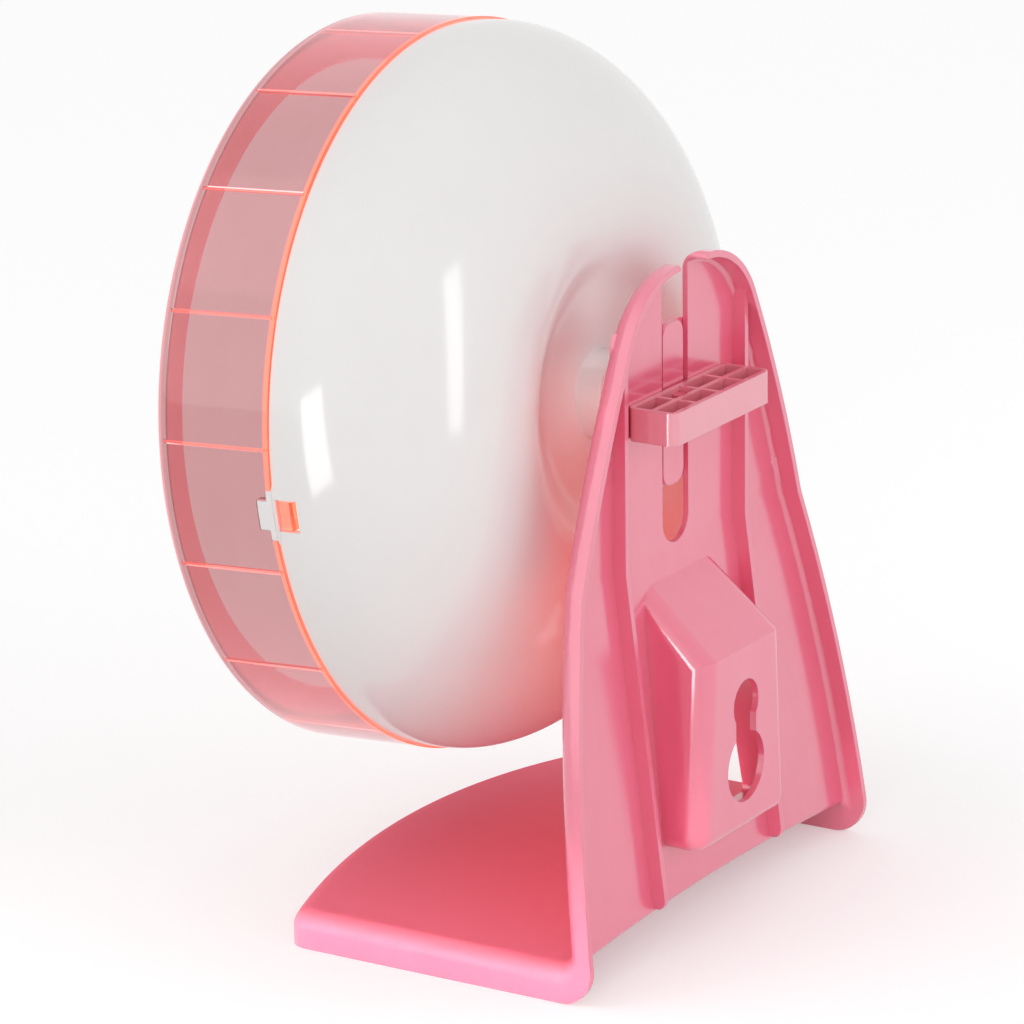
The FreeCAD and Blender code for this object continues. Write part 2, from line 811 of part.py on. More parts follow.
def boss_solid(inset, rear_offset):
    """Hanging boss: a house-shaped block with a sloping roof and a tapered front view.

    The inset moves the roof, face, sides and bottom in by one wall. The rear offset says
    how far into or through the plate the block reaches.
    """
    fall = boss_face_y - plate_y(boss_top_z, plate_wall)
    run = boss_top_z - boss_edge_z
    slope = fall / run
    drop = inset * math.sqrt(1.0 + slope * slope) / slope
    face_y = boss_face_y - inset
    bottom = boss_bottom_z + inset
    edge_z = boss_top_z - drop - (face_y - plate_y(boss_top_z, plate_wall)) / slope
    start_y = plate_y(boss_top_z, plate_wall + rear_offset)
    start_z = boss_top_z - drop + (plate_y(boss_top_z, plate_wall) - start_y) / slope
    low_y = plate_y(bottom, plate_wall + rear_offset)
    side = polygon([
        at(-margin * 3.0, start_y, start_z), at(-margin * 3.0, face_y, edge_z),
        at(-margin * 3.0, face_y, bottom), at(-margin * 3.0, low_y, bottom),
    ]).extrude(at(margin * 6.0, 0, 0))
    top_half = boss_top_half - inset
    low_half = boss_bottom_half - inset
    high = boss_top_z + margin
    grow = (low_half - top_half) / (boss_top_z - boss_bottom_z)
    high_half = top_half - grow * margin
    front = polygon([
        at(-high_half, 0, high), at(high_half, 0, high),
        at(low_half, 0, boss_bottom_z), at(-low_half, 0, boss_bottom_z),
    ]).extrude(at(0, boss_face_y + margin, 0))
    return side.common(front)


def boss_form(inset, rear_offset):
    """Boss with its side edges and its foot rounded, each by the outer radius less the inset."""
    def is_side(edge):
        ends = [v.Point for v in edge.Vertexes]
        middle = (ends[0] + ends[1]) / 2.0
        free = middle.y > plate_y(middle.z, plate_wall + rear_offset) + boss_wall
        return free and abs(ends[0].z - ends[1].z) > boss_wall

    def is_foot(edge):
        ends = [v.Point for v in edge.Vertexes]
        low = all(abs(end.z - boss_bottom_z - inset) < 1e-3 for end in ends)
        root_y = plate_y(boss_bottom_z + inset, plate_wall + rear_offset)
        return low and max(end.y for end in ends) > root_y + boss_wall

    block = rounded(boss_solid(inset, rear_offset), boss_round - inset, is_side)
    return rounded(block, boss_foot_round - inset, is_foot)


def keyhole():
    """Cutter for the keyhole in the boss's face."""
    start = boss_face_y - boss_wall - margin / 4.0
    length = boss_wall + margin / 2.0
    small = Part.makeCylinder(keyhole_small_r, length, at(0, start, keyhole_small_z), Y_AXIS)
    large = Part.makeCylinder(keyhole_large_r, length, at(0, start, keyhole_large_z), Y_AXIS)
    neck = box(at(-keyhole_neck_half, start, keyhole_large_z),
               at(keyhole_neck_half, start + length, keyhole_small_z))
    return small.fuse([large, neck])


def build_stand():
    """Pink stand: plate, base, rim, ribs and hanging boss in one moulding."""
    stand = stand_block().cut(stand_hollow())
    stand = stand.fuse([rib(-rib_x), rib(rib_x), boss_form(0.0, -root)])
    stand = stand.cut(boss_form(boss_wall, -plate_wall - margin))
    return stand.cut(keyhole()).removeSplitter()


# Carriage and block

def upright_slab(half, start_y, end_y):
    """Upright plate with round corners, as tall as the carriage's neck."""
    low = carriage_z - neck_drop - neck_half_height
    slab = box(at(-half, start_y, low), at(half, end_y, low + 2.0 * neck_half_height))
    return rounded(slab, neck_corner_r, lambda e: abs(e.Vertexes[0].Y - e.Vertexes[1].Y) > 1e-3)


def build_carriage():
    """Holder in the slot: front plate, neck, rear tongue and the boss for the axle."""
    plate = upright_slab(carrier_half, carrier_front_y, carrier_rear_y)
    neck = upright_slab(neck_half, carrier_front_y, plate_rear_y - neck_recess)
    tongue = box(at(-tongue_half, plate_front_y, carriage_z - tongue_half_height),
                 at(tongue_half, block_front_y + tongue_length, carriage_z + tongue_half_height))
    tip_y = hub_back_y + hub_running_gap
    cone = Part.makeCone(carrier_tip_r, carrier_boss_r, carrier_rear_y - tip_y, at(0, tip_y, 0), Y_AXIS)
    spigot = rod(shoulder_r, seat_back_y, carrier_rear_y)
    # The tipped boss is trimmed where it would pass the plate's rear
    beyond = box(at(-margin, carrier_rear_y, -margin * 2.0), at(margin, plate_rear_y + margin, margin * 2.0))
    boss = hung(cone.fuse(spigot)).cut(beyond)
    body = plate.fuse([neck, tongue, boss])
    return body.cut(hung(rod(bearing_bore_r + fit_gap, 0.0, pin_rear_y))).removeSplitter()


def build_block():
    """Egg-crate block behind the plate, open at the top."""
    low = carriage_z - block_height / 2.0
    rear_y = block_front_y + block_depth
    block = box(at(-block_half, block_front_y, low), at(block_half, rear_y, low + block_height))
    block = rounded(block, block_corner_r, lambda e: abs(e.Vertexes[0].Z - e.Vertexes[1].Z) > 1e-3)
    clear_x = 2.0 * block_half - 2.0 * block_wall - (cell_columns - 1) * cell_wall
    cell_x = clear_x / cell_columns
    clear_y = block_depth - 2.0 * block_wall - (cell_rows - 1) * cell_wall
    cell_y = clear_y / cell_rows
    for column in range(cell_columns):
        for row in range(cell_rows):
            x = -block_half + block_wall + column * (cell_x + cell_wall)
            y = block_front_y + block_wall + row * (cell_y + cell_wall)
            cell = box(at(x, y, low + block_floor), at(x + cell_x, y + cell_y, low + block_height + margin))
            block = block.cut(cell)
    socket = box(
        at(-tongue_half - fit_gap, block_front_y - margin, carriage_z - tongue_half_height - fit_gap),
        at(tongue_half + fit_gap, block_front_y + tongue_length + fit_gap,
           carriage_z + tongue_half_height + fit_gap))
    return block.cut(socket)


def build_all():
    """Every piece by name, about the axle point."""
    return {
        "stand": build_stand(),
        "axle_carriage": build_carriage(),
        "clamp_block": build_block(),
        "axle_pin": hung(build_axle_pin()),
        "axle_washer": hung(build_washer()),
        "axle_screw": hung(build_screw()),
        "bearing_inner_race": hung(build_inner_race()),
        "bearing_outer_race": hung(build_outer_race()),
        "bearing_balls": hung(build_balls()),
        "bearing_cage": hung(build_cage()),
        "bearing_shield_rear": hung(build_shield(seat_back_y - shield_wall)),
        "bearing_shield_front": hung(build_shield(seat_front_y)),
        "wheel_bowl": hung(build_wheel_bowl()),
        "running_ring": hung(build_running_ring()),
        "hub_cap": hung(build_hub_cap()),
    }


def main():
    """Write each piece to its own file, in its place on the floor."""
    os.makedirs("parts", exist_ok=True)
    for name, shape in build_all().items():
        shape.translate(at(0, -middle_y, axle_height))
        shape.exportStep(os.path.join("parts", name + ".step"))
        size = shape.BoundBox
        print(name, len(shape.Solids), shape.isValid(), round(shape.Volume, 1),
              [round(v, 2) for v in (size.XMin, size.XMax, size.YMin, size.YMax, size.ZMin, size.ZMax)])


main()
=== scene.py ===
"""Looks of a rodent exercise wheel: a white drum with a clear running band on a pink stand.

Sizes in the classes are millimetres about the axle point, where the axle crosses the seam
between drum and band: +X to the side, +Y towards the back plate, +Z up. Pieces of the wheel
are worked out square to the axle and then hang forward by its droop. Meshes are in metres,
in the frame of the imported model. The studio's places are in metres too.
"""

import logging
import math
from dataclasses import dataclass, replace
from enum import Enum
from typing import Any, ClassVar

import bpy
import numpy as np
from mathutils import Matrix


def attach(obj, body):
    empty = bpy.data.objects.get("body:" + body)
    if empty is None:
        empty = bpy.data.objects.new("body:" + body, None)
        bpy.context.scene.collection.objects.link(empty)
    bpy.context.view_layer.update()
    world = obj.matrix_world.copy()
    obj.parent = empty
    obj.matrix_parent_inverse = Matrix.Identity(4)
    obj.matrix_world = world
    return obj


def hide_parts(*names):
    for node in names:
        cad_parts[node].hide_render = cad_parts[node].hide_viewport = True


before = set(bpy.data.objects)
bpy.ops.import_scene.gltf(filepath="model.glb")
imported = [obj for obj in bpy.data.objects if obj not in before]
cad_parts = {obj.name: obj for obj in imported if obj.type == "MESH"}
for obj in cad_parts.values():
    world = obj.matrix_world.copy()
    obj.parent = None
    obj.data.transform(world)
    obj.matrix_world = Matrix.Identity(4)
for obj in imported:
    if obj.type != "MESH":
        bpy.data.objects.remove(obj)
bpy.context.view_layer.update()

log = logging.getLogger("exercise_wheel")

MM = 0.001
MICRONS = 1e6
AXLE_HEIGHT = 147.4
AXLE_DROOP = math.radians(3.25)
MIDDLE_Y = 22.7505
Colour = tuple[float, float, float]
Point = tuple[float, float, float]


class Body(str, Enum):
    """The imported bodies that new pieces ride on."""

    STAND = "stand_body"
    CARRIAGE = "carriage_body"
    WHEEL = "wheel_body"


class Slot(str, Enum):
    """Names of the record's material slots."""

    PINK = "pink_plastic"
    WHITE = "white_plastic"
    CLEAR = "clear_pink_plastic"


# Meshes


def linked(name: str, data: bpy.types.ID) -> bpy.types.Object:
    """Put a mesh, a lamp or a camera into the scene.

    Args:
        name: name of the new object.
        data: what the object shows.

    Returns:
        The new object, at the origin.
    """
    item = bpy.data.objects.new(name, data)
    bpy.context.scene.collection.objects.link(item)
    return item


@dataclass
class Shell:
    """Points in metres, faces as rows of point numbers, and named values per point."""

    points: np.ndarray
    faces: np.ndarray
    values: dict[str, np.ndarray]

    def joined(self, other: "Shell") -> "Shell":
        """Put another shell beside this one, in the same mesh.

        Args:
            other: the shell to add; a value that one of them lacks is 0 there.

        Returns:
            A shell with the points and faces of both.
        """
        values = {}
        for name in sorted(set(self.values) | set(other.values)):
            mine = self.values.get(name, np.zeros(len(self.points)))
            theirs = other.values.get(name, np.zeros(len(other.points)))
            values[name] = np.concatenate([mine, theirs])
        points = np.concatenate([self.points, other.points])
        return Shell(points, np.concatenate([self.faces, other.faces + len(self.points)]), values)

    def outward(self) -> "Shell":
        """Turn every face round if the shell's signed volume is negative.

        Returns:
            This shell.
        """
        corner = self.points[self.faces]
        volume = np.einsum("ij,ij->i", corner[:, 0], np.cross(corner[:, 1], corner[:, 2])).sum()
        if self.faces.shape[1] == 4:
            volume += np.einsum("ij,ij->i", corner[:, 0], np.cross(corner[:, 2], corner[:, 3])).sum()
        if volume < 0.0:
            self.faces = self.faces[:, ::-1]
        return self

    def placed(self, name: str, sharp_angle: float) -> bpy.types.Object:
        """Put the shell into the scene.

        Args:
            name: name of the piece.
            sharp_angle: faces that meet at more than this angle, in degrees, keep a crisp edge.

        Returns:
            The new object, at the origin.
        """
        mesh = bpy.data.meshes.new(name)
        mesh.from_pydata(self.points, [], self.faces)
        for key, value in self.values.items():
            mesh.attributes.new(key, "FLOAT", "POINT").data.foreach_set("value", value.astype(np.float32))
        mesh.update()
        mesh.shade_smooth()
        mesh.set_sharp_from_angle(angle=math.radians(sharp_angle))
        return linked(name, mesh)


def hung(points: np.ndarray) -> np.ndarray:
    """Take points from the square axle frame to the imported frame.

    The turn about +X by the droop is y' = y cos d - z sin d, z' = y sin d + z cos d; then the
    axle point moves up to its height over the floor and forward from the frame's middle.

    Args:
        points: array whose last axis is x, y, z in millimetres.

    Returns:
        The points in metres.
    """
    x, y, z = np.moveaxis(points, -1, 0)
    c, s = math.cos(AXLE_DROOP), math.sin(AXLE_DROOP)
    return np.stack([x, y * c - z * s - MIDDLE_Y, y * s + z * c + AXLE_HEIGHT], -1) * MM


def turned(radius: np.ndarray, depth: np.ndarray, angle: np.ndarray) -> np.ndarray:
    """Carry a profile round the axle: (r cos a, y, r sin a).

    Args:
        radius: distance from the axle, rows by columns.
        depth: distance along the axle, rows by columns.
        angle: turn of each column in radians.

    Returns:
        Points of shape rows, columns, 3.
    """
    radius, depth, angle = np.broadcast_arrays(radius, depth, angle)
    return np.stack([radius * np.cos(angle), depth, radius * np.sin(angle)], -1)


def thick_sheet(outer: np.ndarray, inner: np.ndarray, kept: np.ndarray,
                **values: tuple[np.ndarray, np.ndarray]) -> Shell:
    """Close the room between two grids that wrap round in their columns.

    Each kept cell gives a face on both grids, and each edge where a kept cell meets a dropped
    one, or the end of the rows, gives a wall between them.

    Args:
        outer: grid of points, rows by columns by 3.
        inner: grid of the same shape on the other side of the wall.
        kept: rows - 1 by columns, true where the sheet has material.
        values: named values, each a pair of rows by columns for the outer and the inner grid.

    Returns:
        One closed shell without loose points.
    """
    rows, cols = outer.shape[:2]
    under = rows * cols
    ids = np.arange(under).reshape(rows, cols)
    nxt = np.roll(ids, -1, axis=1)
    a, b, c, d = ids[:-1], ids[1:], nxt[1:], nxt[:-1]
    top = np.stack([a, b, c, d], -1)[kept]
    faces = [top, top[:, ::-1] + under]
    none = np.zeros((1, cols), bool)
    neighbours = [
        (np.concatenate([none, kept[:-1]]), a, d),
        (np.concatenate([kept[1:], none]), c, b),
        (np.roll(kept, 1, axis=1), b, a),
        (np.roll(kept, -1, axis=1), d, c),
    ]
    for beside, start, end in neighbours:
        edge = kept & ~beside
        first, second = start[edge], end[edge]
        faces.append(np.stack([first, second, second + under, first + under], -1))
    quads = np.concatenate(faces)
    points = np.concatenate([outer.reshape(-1, 3), inner.reshape(-1, 3)])
    used, packed = np.unique(quads, return_inverse=True)
    paired = {name: np.concatenate([a.reshape(-1), b.reshape(-1)])[used] for name, (a, b) in values.items()}
    return Shell(points[used], packed.reshape(quads.shape), paired).outward()


def solid_block(corners: np.ndarray, across: np.ndarray) -> Shell:
    """Carry a closed section round the axle through part of a turn, with an end at each side.

    Args:
        corners: section as points of radius and depth, an even number, listed so that point k
            faces point n - 1 - k across the section.
        across: angles of the columns in radians.

    Returns:
        A closed shell in metres.
    """
    points = hung(turned(corners[:, :1], corners[:, 1:], across[None, :]))
    n, cols = points.shape[:2]
    ids = np.arange(n * cols).reshape(n, cols)
    down = np.roll(ids, -1, axis=0)
    sides = np.stack([ids[:, :-1], down[:, :-1], down[:, 1:], ids[:, 1:]], -1).reshape(-1, 4)
    low = np.arange(n // 2 - 1)
    cap = np.stack([low, low + 1, n - 2 - low, n - 1 - low], -1)
    ends = [ids[:, 0][cap][:, ::-1], ids[:, -1][cap]]
    return Shell(points.reshape(-1, 3), np.concatenate([sides] + ends), {}).outward()


def columns_round(marks: np.ndarray, spacing: float) -> np.ndarray:
    """Angles round the axle that hold every mark and are nowhere further apart than a spacing.

    Args:
        marks: angles in degrees that a column has to lie on.
        spacing: widest step in degrees.

    Returns:
        Sorted angles in degrees, from 0 up to 360.
    """
    marks = np.unique(np.round(marks % 360.0, 6))
    gaps = np.diff(np.append(marks, marks[0] + 360.0))
    steps = np.maximum(np.ceil(gaps / spacing), 1.0).astype(int)
    start = np.repeat(marks, steps)
    rank = np.arange(steps.sum()) - np.repeat(np.cumsum(steps) - steps, steps)
    return np.sort((start + np.repeat(gaps / steps, steps) * rank) % 360.0)


def off_centre(angle: np.ndarray, centres: np.ndarray, radius: float) -> np.ndarray:
    """Arc length from each angle to the nearest of some centres, at a radius.

    Args:
        angle: angles in degrees.
        centres: angles in degrees.
        radius: where the length is measured, in millimetres.

    Returns:
        Lengths in millimetres, none below 0.
    """
    turn = np.abs((angle[:, None] - centres[None, :] + 180.0) % 360.0 - 180.0).min(axis=1)
    return np.radians(turn) * radius


def half_way(angle: np.ndarray) -> np.ndarray:
    """Angles in degrees half-way from each column to the next."""
    return angle + ((np.roll(angle, -1) - angle) % 360.0) / 2.0


def cad_copy(node: str) -> Shell:
    """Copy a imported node's triangles, with the points that coincide made one.

    Args:
        node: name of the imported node.

    Returns:
        The node's surface as a shell of triangles.
    """
    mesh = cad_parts[node].data
    flat = np.empty(len(mesh.vertices) * 3, np.float32)
    mesh.vertices.foreach_get("co", flat)
    loops = np.empty(len(mesh.loops), np.int32)
    mesh.loops.foreach_get("vertex_index", loops)
    points = flat.reshape(-1, 3).astype(float)
    _, first, packed = np.unique(np.round(points * MICRONS).astype(np.int64), axis=0,
                                 return_index=True, return_inverse=True)
    faces = packed.reshape(-1)[loops].reshape(-1, 3)
    whole = (faces[:, 0] != faces[:, 1]) & (faces[:, 1] != faces[:, 2]) & (faces[:, 2] != faces[:, 0])
    return Shell(points[first], faces[whole], {})


def weigh_normals(piece: bpy.types.Object) -> None:
    """Let the large flat faces of a piece rule the shading at their edges.

    Args:
        piece: object whose flat faces run into narrow rounds.
    """
    weigh = piece.modifiers.new("weighted", "WEIGHTED_NORMAL")
    weigh.mode = "FACE_AREA"
    weigh.weight = 100
    weigh.keep_sharp = True


# Shading


class Tree:
    """Adds and links nodes in one node tree."""

    def __init__(self, tree: bpy.types.NodeTree) -> None:
        """Keep the tree, emptied of its nodes."""
        self.tree = tree
        tree.nodes.clear()

    def fill(self, node: bpy.types.Node, inputs: dict[Any, Any]) -> None:
        """Give inputs of a node their values or sources.

        Args:
            node: node of this tree.
            inputs: value or source socket for each named input.
        """
        for key, value in inputs.items():
            if isinstance(value, bpy.types.NodeSocket):
                self.tree.links.new(value, node.inputs[key])
            else:
                node.inputs[key].default_value = value

    def add(self, kind: str, inputs: dict[Any, Any] | None = None, **settings: Any) -> bpy.types.Node:
        """Add a node.

        Args:
            kind: Blender's name for the node type.
            inputs: value or source socket for each named input.
            settings: properties of the node itself.

        Returns:
            The new node.
        """
        node = self.tree.nodes.new(kind)
        for key, value in settings.items():
            setattr(node, key, value)
        self.fill(node, inputs or {})
        return node

    def group(self, tree: bpy.types.NodeTree, inputs: dict[str, Any] | None = None) -> Any:
        """Add a shared group and give its outputs."""
        return self.add("ShaderNodeGroup", inputs, node_tree=tree).outputs

    def place(self) -> bpy.types.NodeSocket:
        """Place in the object's own coordinates."""
        return self.add("ShaderNodeTexCoord").outputs["Object"]

    def attribute(self, name: str) -> bpy.types.NodeSocket:
        """Value that the mesh itself holds under a name, 0 where it has none."""
        return self.add("ShaderNodeAttribute", attribute_name=name, attribute_type="GEOMETRY").outputs["Fac"]

    def noise(self, place: Any, scale: Any, detail: float, roughness: float = 0.5) -> bpy.types.NodeSocket:
        """Noise about a half, at so many cells to a metre."""
        inputs = {"Vector": place, "Scale": scale, "Detail": detail, "Roughness": roughness}
        return self.add("ShaderNodeTexNoise", inputs).outputs[0]

    def math(self, operation: str, first: Any, second: Any = 0.0) -> bpy.types.NodeSocket:
        """Work out one number from two, kept between 0 and 1."""
        node = self.add("ShaderNodeMath", {0: first, 1: second}, operation=operation, use_clamp=True)
        return node.outputs[0]

    def dot(self, first: Any, second: Any) -> bpy.types.NodeSocket:
        """Product of two directions, 1 where they are the same."""
        node = self.add("ShaderNodeVectorMath", {0: first, 1: second}, operation="DOT_PRODUCT")
        return node.outputs["Value"]

    def span(self, value: Any, low: float, high: float, to_low: float = 0.0,
             to_high: float = 1.0) -> bpy.types.NodeSocket:
        """Map a value from one range to another, kept inside it."""
        node = self.add("ShaderNodeMapRange", {"Value": value, "From Min": low, "From Max": high,
                                               "To Min": to_low, "To Max": to_high})
        return node.outputs["Result"]

    def blend(self, share: Any, first: Any, second: Any) -> bpy.types.NodeSocket:
        """Mix two colours by a share.

        Args:
            share: 0 for the first colour, 1 for the second.
            first: colour or socket.
            second: colour or socket.

        Returns:
            The mixed colour's socket.
        """
        node = self.add("ShaderNodeMix", data_type="RGBA")
        sockets = [s for s in node.inputs if s.enabled]
        for socket, value in zip(sockets, (share, first, second)):
            if isinstance(value, bpy.types.NodeSocket):
                self.tree.links.new(value, socket)
            elif isinstance(value, tuple):
                socket.default_value = (*value, 1.0)
            else:
                socket.default_value = value
        return next(s for s in node.outputs if s.enabled)

    def seen(self) -> bpy.types.NodeSocket:
        """Tell the rays that look, by eye, through glass or in gloss, from those that only light.

        Returns:
            Socket that is 1 for a ray that looks and 0 for the others.
        """
        path = self.add("ShaderNodeLightPath").outputs
        through = self.math("ADD", path["Is Camera Ray"], path["Is Transmission Ray"])
        return self.math("ADD", through, path["Is Glossy Ray"])


def new_group(name: str, inputs: dict[str, float], outputs: dict[str, str]) -> tuple[Tree, Any, Any]:
    """Start a shader node group.

    Args:
        name: name of the group.
        inputs: named number inputs with their usual values.
        outputs: named outputs with their socket types.

    Returns:
        The group's tree, the outputs of its input node, and its output node.
    """
    group = bpy.data.node_groups.new(name, "ShaderNodeTree")
    for key, value in inputs.items():
        group.interface.new_socket(key, in_out="INPUT", socket_type="NodeSocketFloat").default_value = value
    for key, kind in outputs.items():
        group.interface.new_socket(key, in_out="OUTPUT", socket_type=kind)
    tree = Tree(group)
    return tree, tree.add("NodeGroupInput").outputs, tree.add("NodeGroupOutput")


def grain_group() -> bpy.types.NodeTree:
    """Group for moulded plastic: slow clouds of tone, flow streaks and a fine orange peel.

    Returns:
        The group, with outputs Tone from 0 to 1 and Peel as a height.
    """
    scales = {"Cloud Scale": 40.0, "Streak Scale": 160.0, "Peel Scale": 900.0}
    tree, given, out = new_group("moulded_grain", scales,
                                 {"Tone": "NodeSocketFloat", "Peel": "NodeSocketFloat"})
    streak_stretch, cloud_share, streak_share = (1.0, 1.0, 0.12), 0.7, 0.3
    place = tree.place()
    cloud = tree.noise(place, given["Cloud Scale"], 5.0, 0.6)
    stretched = tree.add("ShaderNodeMapping", {"Vector": place, "Scale": streak_stretch}).outputs[0]
    streak = tree.noise(stretched, given["Streak Scale"], 3.0)
    tone = tree.math("ADD", tree.span(cloud, 0.3, 0.7, 0.0, cloud_share),
                     tree.span(streak, 0.35, 0.65, 0.0, streak_share))
    tree.fill(out, {"Tone": tone, "Peel": tree.noise(place, given["Peel Scale"], 2.0)})
    return tree.tree


def edge_group() -> bpy.types.NodeTree:
    """Group that finds edges: the normal rounded over a width, set against the true normal.

    Returns:
        The group, with outputs Edge from 0 to 1 and the rounded Normal.
    """
    tree, given, out = new_group("worn_edges", {"Width": 0.0005, "Chip Scale": 350.0},
                                 {"Edge": "NodeSocketFloat", "Normal": "NodeSocketVector"})
    flat_turn, full_turn = 0.995, 0.75
    soft = tree.add("ShaderNodeBevel", {"Radius": given["Width"]}, samples=6).outputs[0]
    turn = tree.dot(soft, tree.add("ShaderNodeNewGeometry").outputs["Normal"])
    chips = tree.noise(tree.place(), given["Chip Scale"], 4.0)
    edge = tree.span(turn, flat_turn, full_turn)
    worn = tree.math("MULTIPLY", edge, tree.span(chips, 0.3, 0.65, 0.35, 1.0))
    tree.fill(out, {"Edge": worn, "Normal": soft})
    return tree.tree


def dust_group() -> bpy.types.NodeTree:
    """Group for dust that settles on faces that look up, broken by a fine noise.

    Returns:
        The group, with the output Dust from 0 to 1.
    """
    tree, given, out = new_group("settled_dust", {"Amount": 0.1, "Speck Scale": 1400.0, "Patch Scale": 30.0},
                                 {"Dust": "NodeSocketFloat"})
    facing = tree.add("ShaderNodeSeparateXYZ", {0: tree.add("ShaderNodeNewGeometry").outputs["Normal"]})
    place = tree.place()
    specks = tree.noise(place, given["Speck Scale"], 6.0, 0.75)
    patch = tree.noise(place, given["Patch Scale"], 2.0)
    up = tree.span(facing.outputs["Z"], 0.2, 0.9)
    cover = tree.math("MULTIPLY", tree.span(specks, 0.52, 0.7), tree.span(patch, 0.35, 0.7, 0.2, 1.0))
    dust = tree.math("MULTIPLY", tree.math("MULTIPLY", up, cover), given["Amount"])
    tree.fill(out, {"Dust": dust})
    return tree.tree


def matt_group() -> bpy.types.NodeTree:
    """Group that finds the textured top of the base: faces that look up, below a height.

    Returns:
        The group, with outputs Matt from 0 to 1 and Spark as the height of the texture there.
    """
    tree, given, out = new_group("textured_top", {"Height": 0.02, "Spark Scale": 2600.0},
                                 {"Matt": "NodeSocketFloat", "Spark": "NodeSocketFloat"})
    facing = tree.add("ShaderNodeSeparateXYZ", {0: tree.add("ShaderNodeNewGeometry").outputs["Normal"]})
    place = tree.place()
    height = tree.add("ShaderNodeSeparateXYZ", {0: place})
    low = tree.math("LESS_THAN", height.outputs["Z"], given["Height"])
    matt = tree.math("MULTIPLY", tree.span(facing.outputs["Z"], 0.35, 0.8), low)
    spark = tree.noise(place, given["Spark Scale"], 3.0, 0.6)
    tree.fill(out, {"Matt": matt, "Spark": tree.math("MULTIPLY", spark, matt)})
    return tree.tree


GRAIN, EDGES, DUST, MATT = grain_group(), edge_group(), dust_group(), matt_group()
DUST_TONE = (0.75, 0.72, 0.7)
DARK = (0.0, 0.0, 0.0)


def new_material(name: str) -> tuple[bpy.types.Material, Tree, Any]:
    """Start a material with a Principled shader.

    Args:
        name: name of the material.

    Returns:
        The material, its tree and its shader node.
    """
    material = bpy.data.materials.new(name)
    material.use_nodes = True
    tree = Tree(material.node_tree)
    shader = tree.add("ShaderNodeBsdfPrincipled")
    tree.add("ShaderNodeOutputMaterial", {"Surface": shader.outputs[0]})
    return material, tree, shader


@dataclass(frozen=True)
class MouldedPlastic:
    """Opaque injection-moulded plastic with a gloss, worn a little at its edges."""

    name: str
    colour: Colour
    cloud: Colour
    worn: Colour
    matt: Colour
    roughness: float
    spread: float = 0.05
    peel_scale: float = 900.0
    peel_depth: float = 0.00002
    peel_strength: float = 0.5
    edge_width: float = 0.0005
    edge_share: float = 0.15
    dust: float = 0.02
    dust_rough: float = 0.4
    matt_rough: float = 0.4
    dull_rough: float = 0.0
    coat: float = 0.0
    coat_ior: float = 1.5
    coat_roughness: float = 0.15
    ior: float = 1.5
    specular: float = 0.5

    def material(self) -> bpy.types.Material:
        """Build the finish.

        Returns:
            A material whose tone, roughness, coat and bump vary over the piece.
        """
        material, tree, shader = new_material(self.name)
        grain = tree.group(GRAIN, {"Peel Scale": self.peel_scale})
        edges = tree.group(EDGES, {"Width": self.edge_width})
        dust = tree.group(DUST, {"Amount": self.dust})["Dust"]
        top = tree.group(MATT)
        tone = tree.blend(grain["Tone"], self.colour, self.cloud)
        tone = tree.blend(top["Matt"], tone, self.matt)
        tone = tree.blend(tree.math("MULTIPLY", edges["Edge"], self.edge_share), tone, self.worn)
        tone = tree.blend(dust, tone, DUST_TONE)
        rough = tree.span(grain["Tone"], 0.0, 1.0, self.roughness - self.spread, self.roughness + self.spread)
        for mask, more in ((dust, self.dust_rough), (top["Matt"], self.matt_rough),
                           (tree.attribute("dull"), self.dull_rough)):
            rough = tree.math("ADD", rough, tree.math("MULTIPLY", mask, more))
        height = tree.math("ADD", tree.math("MULTIPLY", grain["Peel"], 0.5),
                           tree.math("MULTIPLY", top["Spark"], 0.5))
        bump = tree.add("ShaderNodeBump", {"Height": height, "Normal": edges["Normal"],
                                           "Strength": self.peel_strength, "Distance": self.peel_depth})
        tree.fill(shader, {"Base Color": tone, "Roughness": rough, "Normal": bump.outputs[0],
                           "Coat Weight": tree.span(top["Matt"], 0.0, 1.0, self.coat, 0.0),
                           "Coat IOR": self.coat_ior, "Coat Roughness": self.coat_roughness,
                           "IOR": self.ior, "Specular IOR Level": self.specular})
        return material


